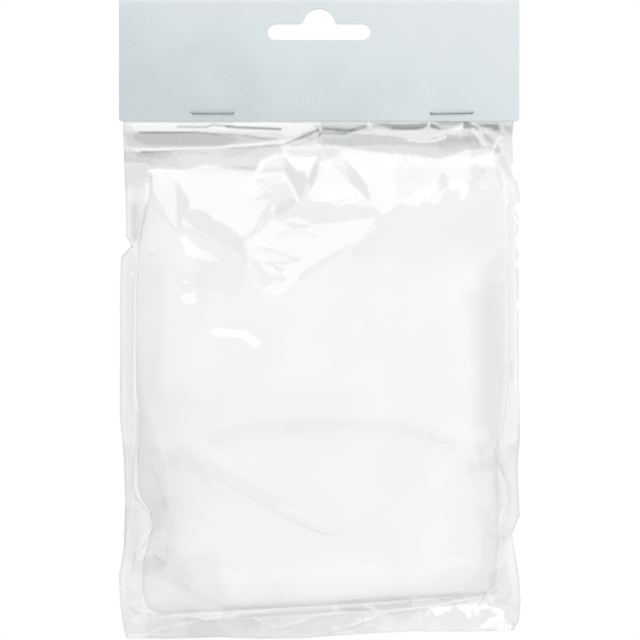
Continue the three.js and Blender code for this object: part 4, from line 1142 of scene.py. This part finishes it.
def makeFloor(material):
    rings, count = studio["floorRings"], studio["floorSides"]
    turn = np.linspace(0, 2 * math.pi, count, endpoint=False)
    points = [np.stack([ring * np.cos(turn), ring * np.sin(turn), np.full(count, studio["floorHeight"])], axis=-1)
              for ring in rings]
    index = np.arange(len(rings) * count).reshape(len(rings), count)
    after = np.roll(index, -1, axis=1)
    faces = np.stack([index[:-1], index[1:], after[1:], after[:-1]], axis=-1).reshape(-1, 4)
    floor = addPiece("floor", np.concatenate(points) * 1000, faces, material)


def makeWorld():
    world = bpy.data.worlds.new("white studio")
    bpy.context.scene.world = world
    world.use_nodes = True
    tree = world.node_tree
    tree.nodes.clear()
    path = addNode(tree, "LightPath").outputs
    axes = addNode(tree, "SeparateXYZ", {0: addNode(tree, "TexCoord").outputs["Generated"]}).outputs
    smooth = {"interpolation_type": "SMOOTHSTEP"}
    # mirrored in the film: a dim room before and behind the pack, white walls beside it and overhead
    behind = addNode(tree, "MapRange", {"Value": axes["Y"], "From Min": -0.75, "From Max": 0.15}, **smooth)
    above = addNode(tree, "MapRange", {"Value": axes["Z"], "From Min": 0.3, "From Max": 0.8}, **smooth)
    far = addNode(tree, "MapRange", {"Value": axes["Y"], "From Min": 0.4, "From Max": 0.75, "To Min": 1.0,
                                     "To Max": 0.15}, **smooth)
    beside = addNode(tree, "Math", {0: behind, 1: far}, operation="MULTIPLY")
    share = addNode(tree, "Math", {0: beside, 1: above}, operation="MAXIMUM")
    room = addNode(tree, "MapRange", {"Value": share, "To Min": studio["horizon"], "To Max": studio["zenith"]})
    fall = addNode(tree, "MapRange", {"Value": axes["Y"], "From Min": 0.1, "From Max": 0.7,
                                      "To Min": studio["ambient"], "To Max": studio["rearAmbient"]}, **smooth)
    seen, soft, white = (addNode(tree, "Background", {"Color": (1, 1, 1, 1), "Strength": strength})
                         for strength in (room, fall, 1.0))
    mirror = addNode(tree, "MixShader", {0: path["Is Glossy Ray"], 1: soft, 2: seen})
    straight = addNode(tree, "Math", {0: path["Is Camera Ray"], 1: path["Is Transmission Ray"]}, operation="MAXIMUM")
    mix = addNode(tree, "MixShader", {0: straight, 1: mirror, 2: white})
    addNode(tree, "OutputWorld", {"Surface": mix})


def softbox(name, elevation, azimuth, distance, wide, tall, radiance, aim):
    lamp = bpy.data.lights.new(name, "AREA")
    lamp.shape, lamp.size, lamp.size_y = "RECTANGLE", wide, tall
    lamp.energy = radiance * math.pi * wide * tall
    box = bpy.data.objects.new(name, lamp)
    e, a = math.radians(elevation), math.radians(azimuth)
    box.location = (aim[0] + distance * math.sin(a) * math.cos(e), aim[1] - distance * math.cos(a) * math.cos(e),
                    aim[2] + distance * math.sin(e))
    box.rotation_euler = (math.pi / 2 - e, 0, a)
    box.visible_camera = False
    bpy.context.scene.collection.objects.link(box)


def makeCamera():
    lens = bpy.data.cameras.new("front")
    lens.lens, lens.sensor_width, lens.sensor_fit = studio["lens"], studio["sensor"], "HORIZONTAL"
    lens.clip_start, lens.clip_end = studio["clip"]
    camera = bpy.data.objects.new("front", lens)
    distance = studio["frameWidth"] * studio["lens"] / studio["sensor"]
    camera.location = (studio["cameraX"], -distance, studio["cameraZ"])
    camera.rotation_euler = (math.pi / 2, 0, 0)
    bpy.context.scene.collection.objects.link(camera)
    bpy.context.scene.camera = camera


makeFloor(newMaterial("matt white sweep", paperSweep))
makeWorld()
for name, settings in lamps.items():
    softbox(name, *settings)
makeCamera()
bpy.context.scene.view_settings.view_transform = "Standard"
print("studio lit")
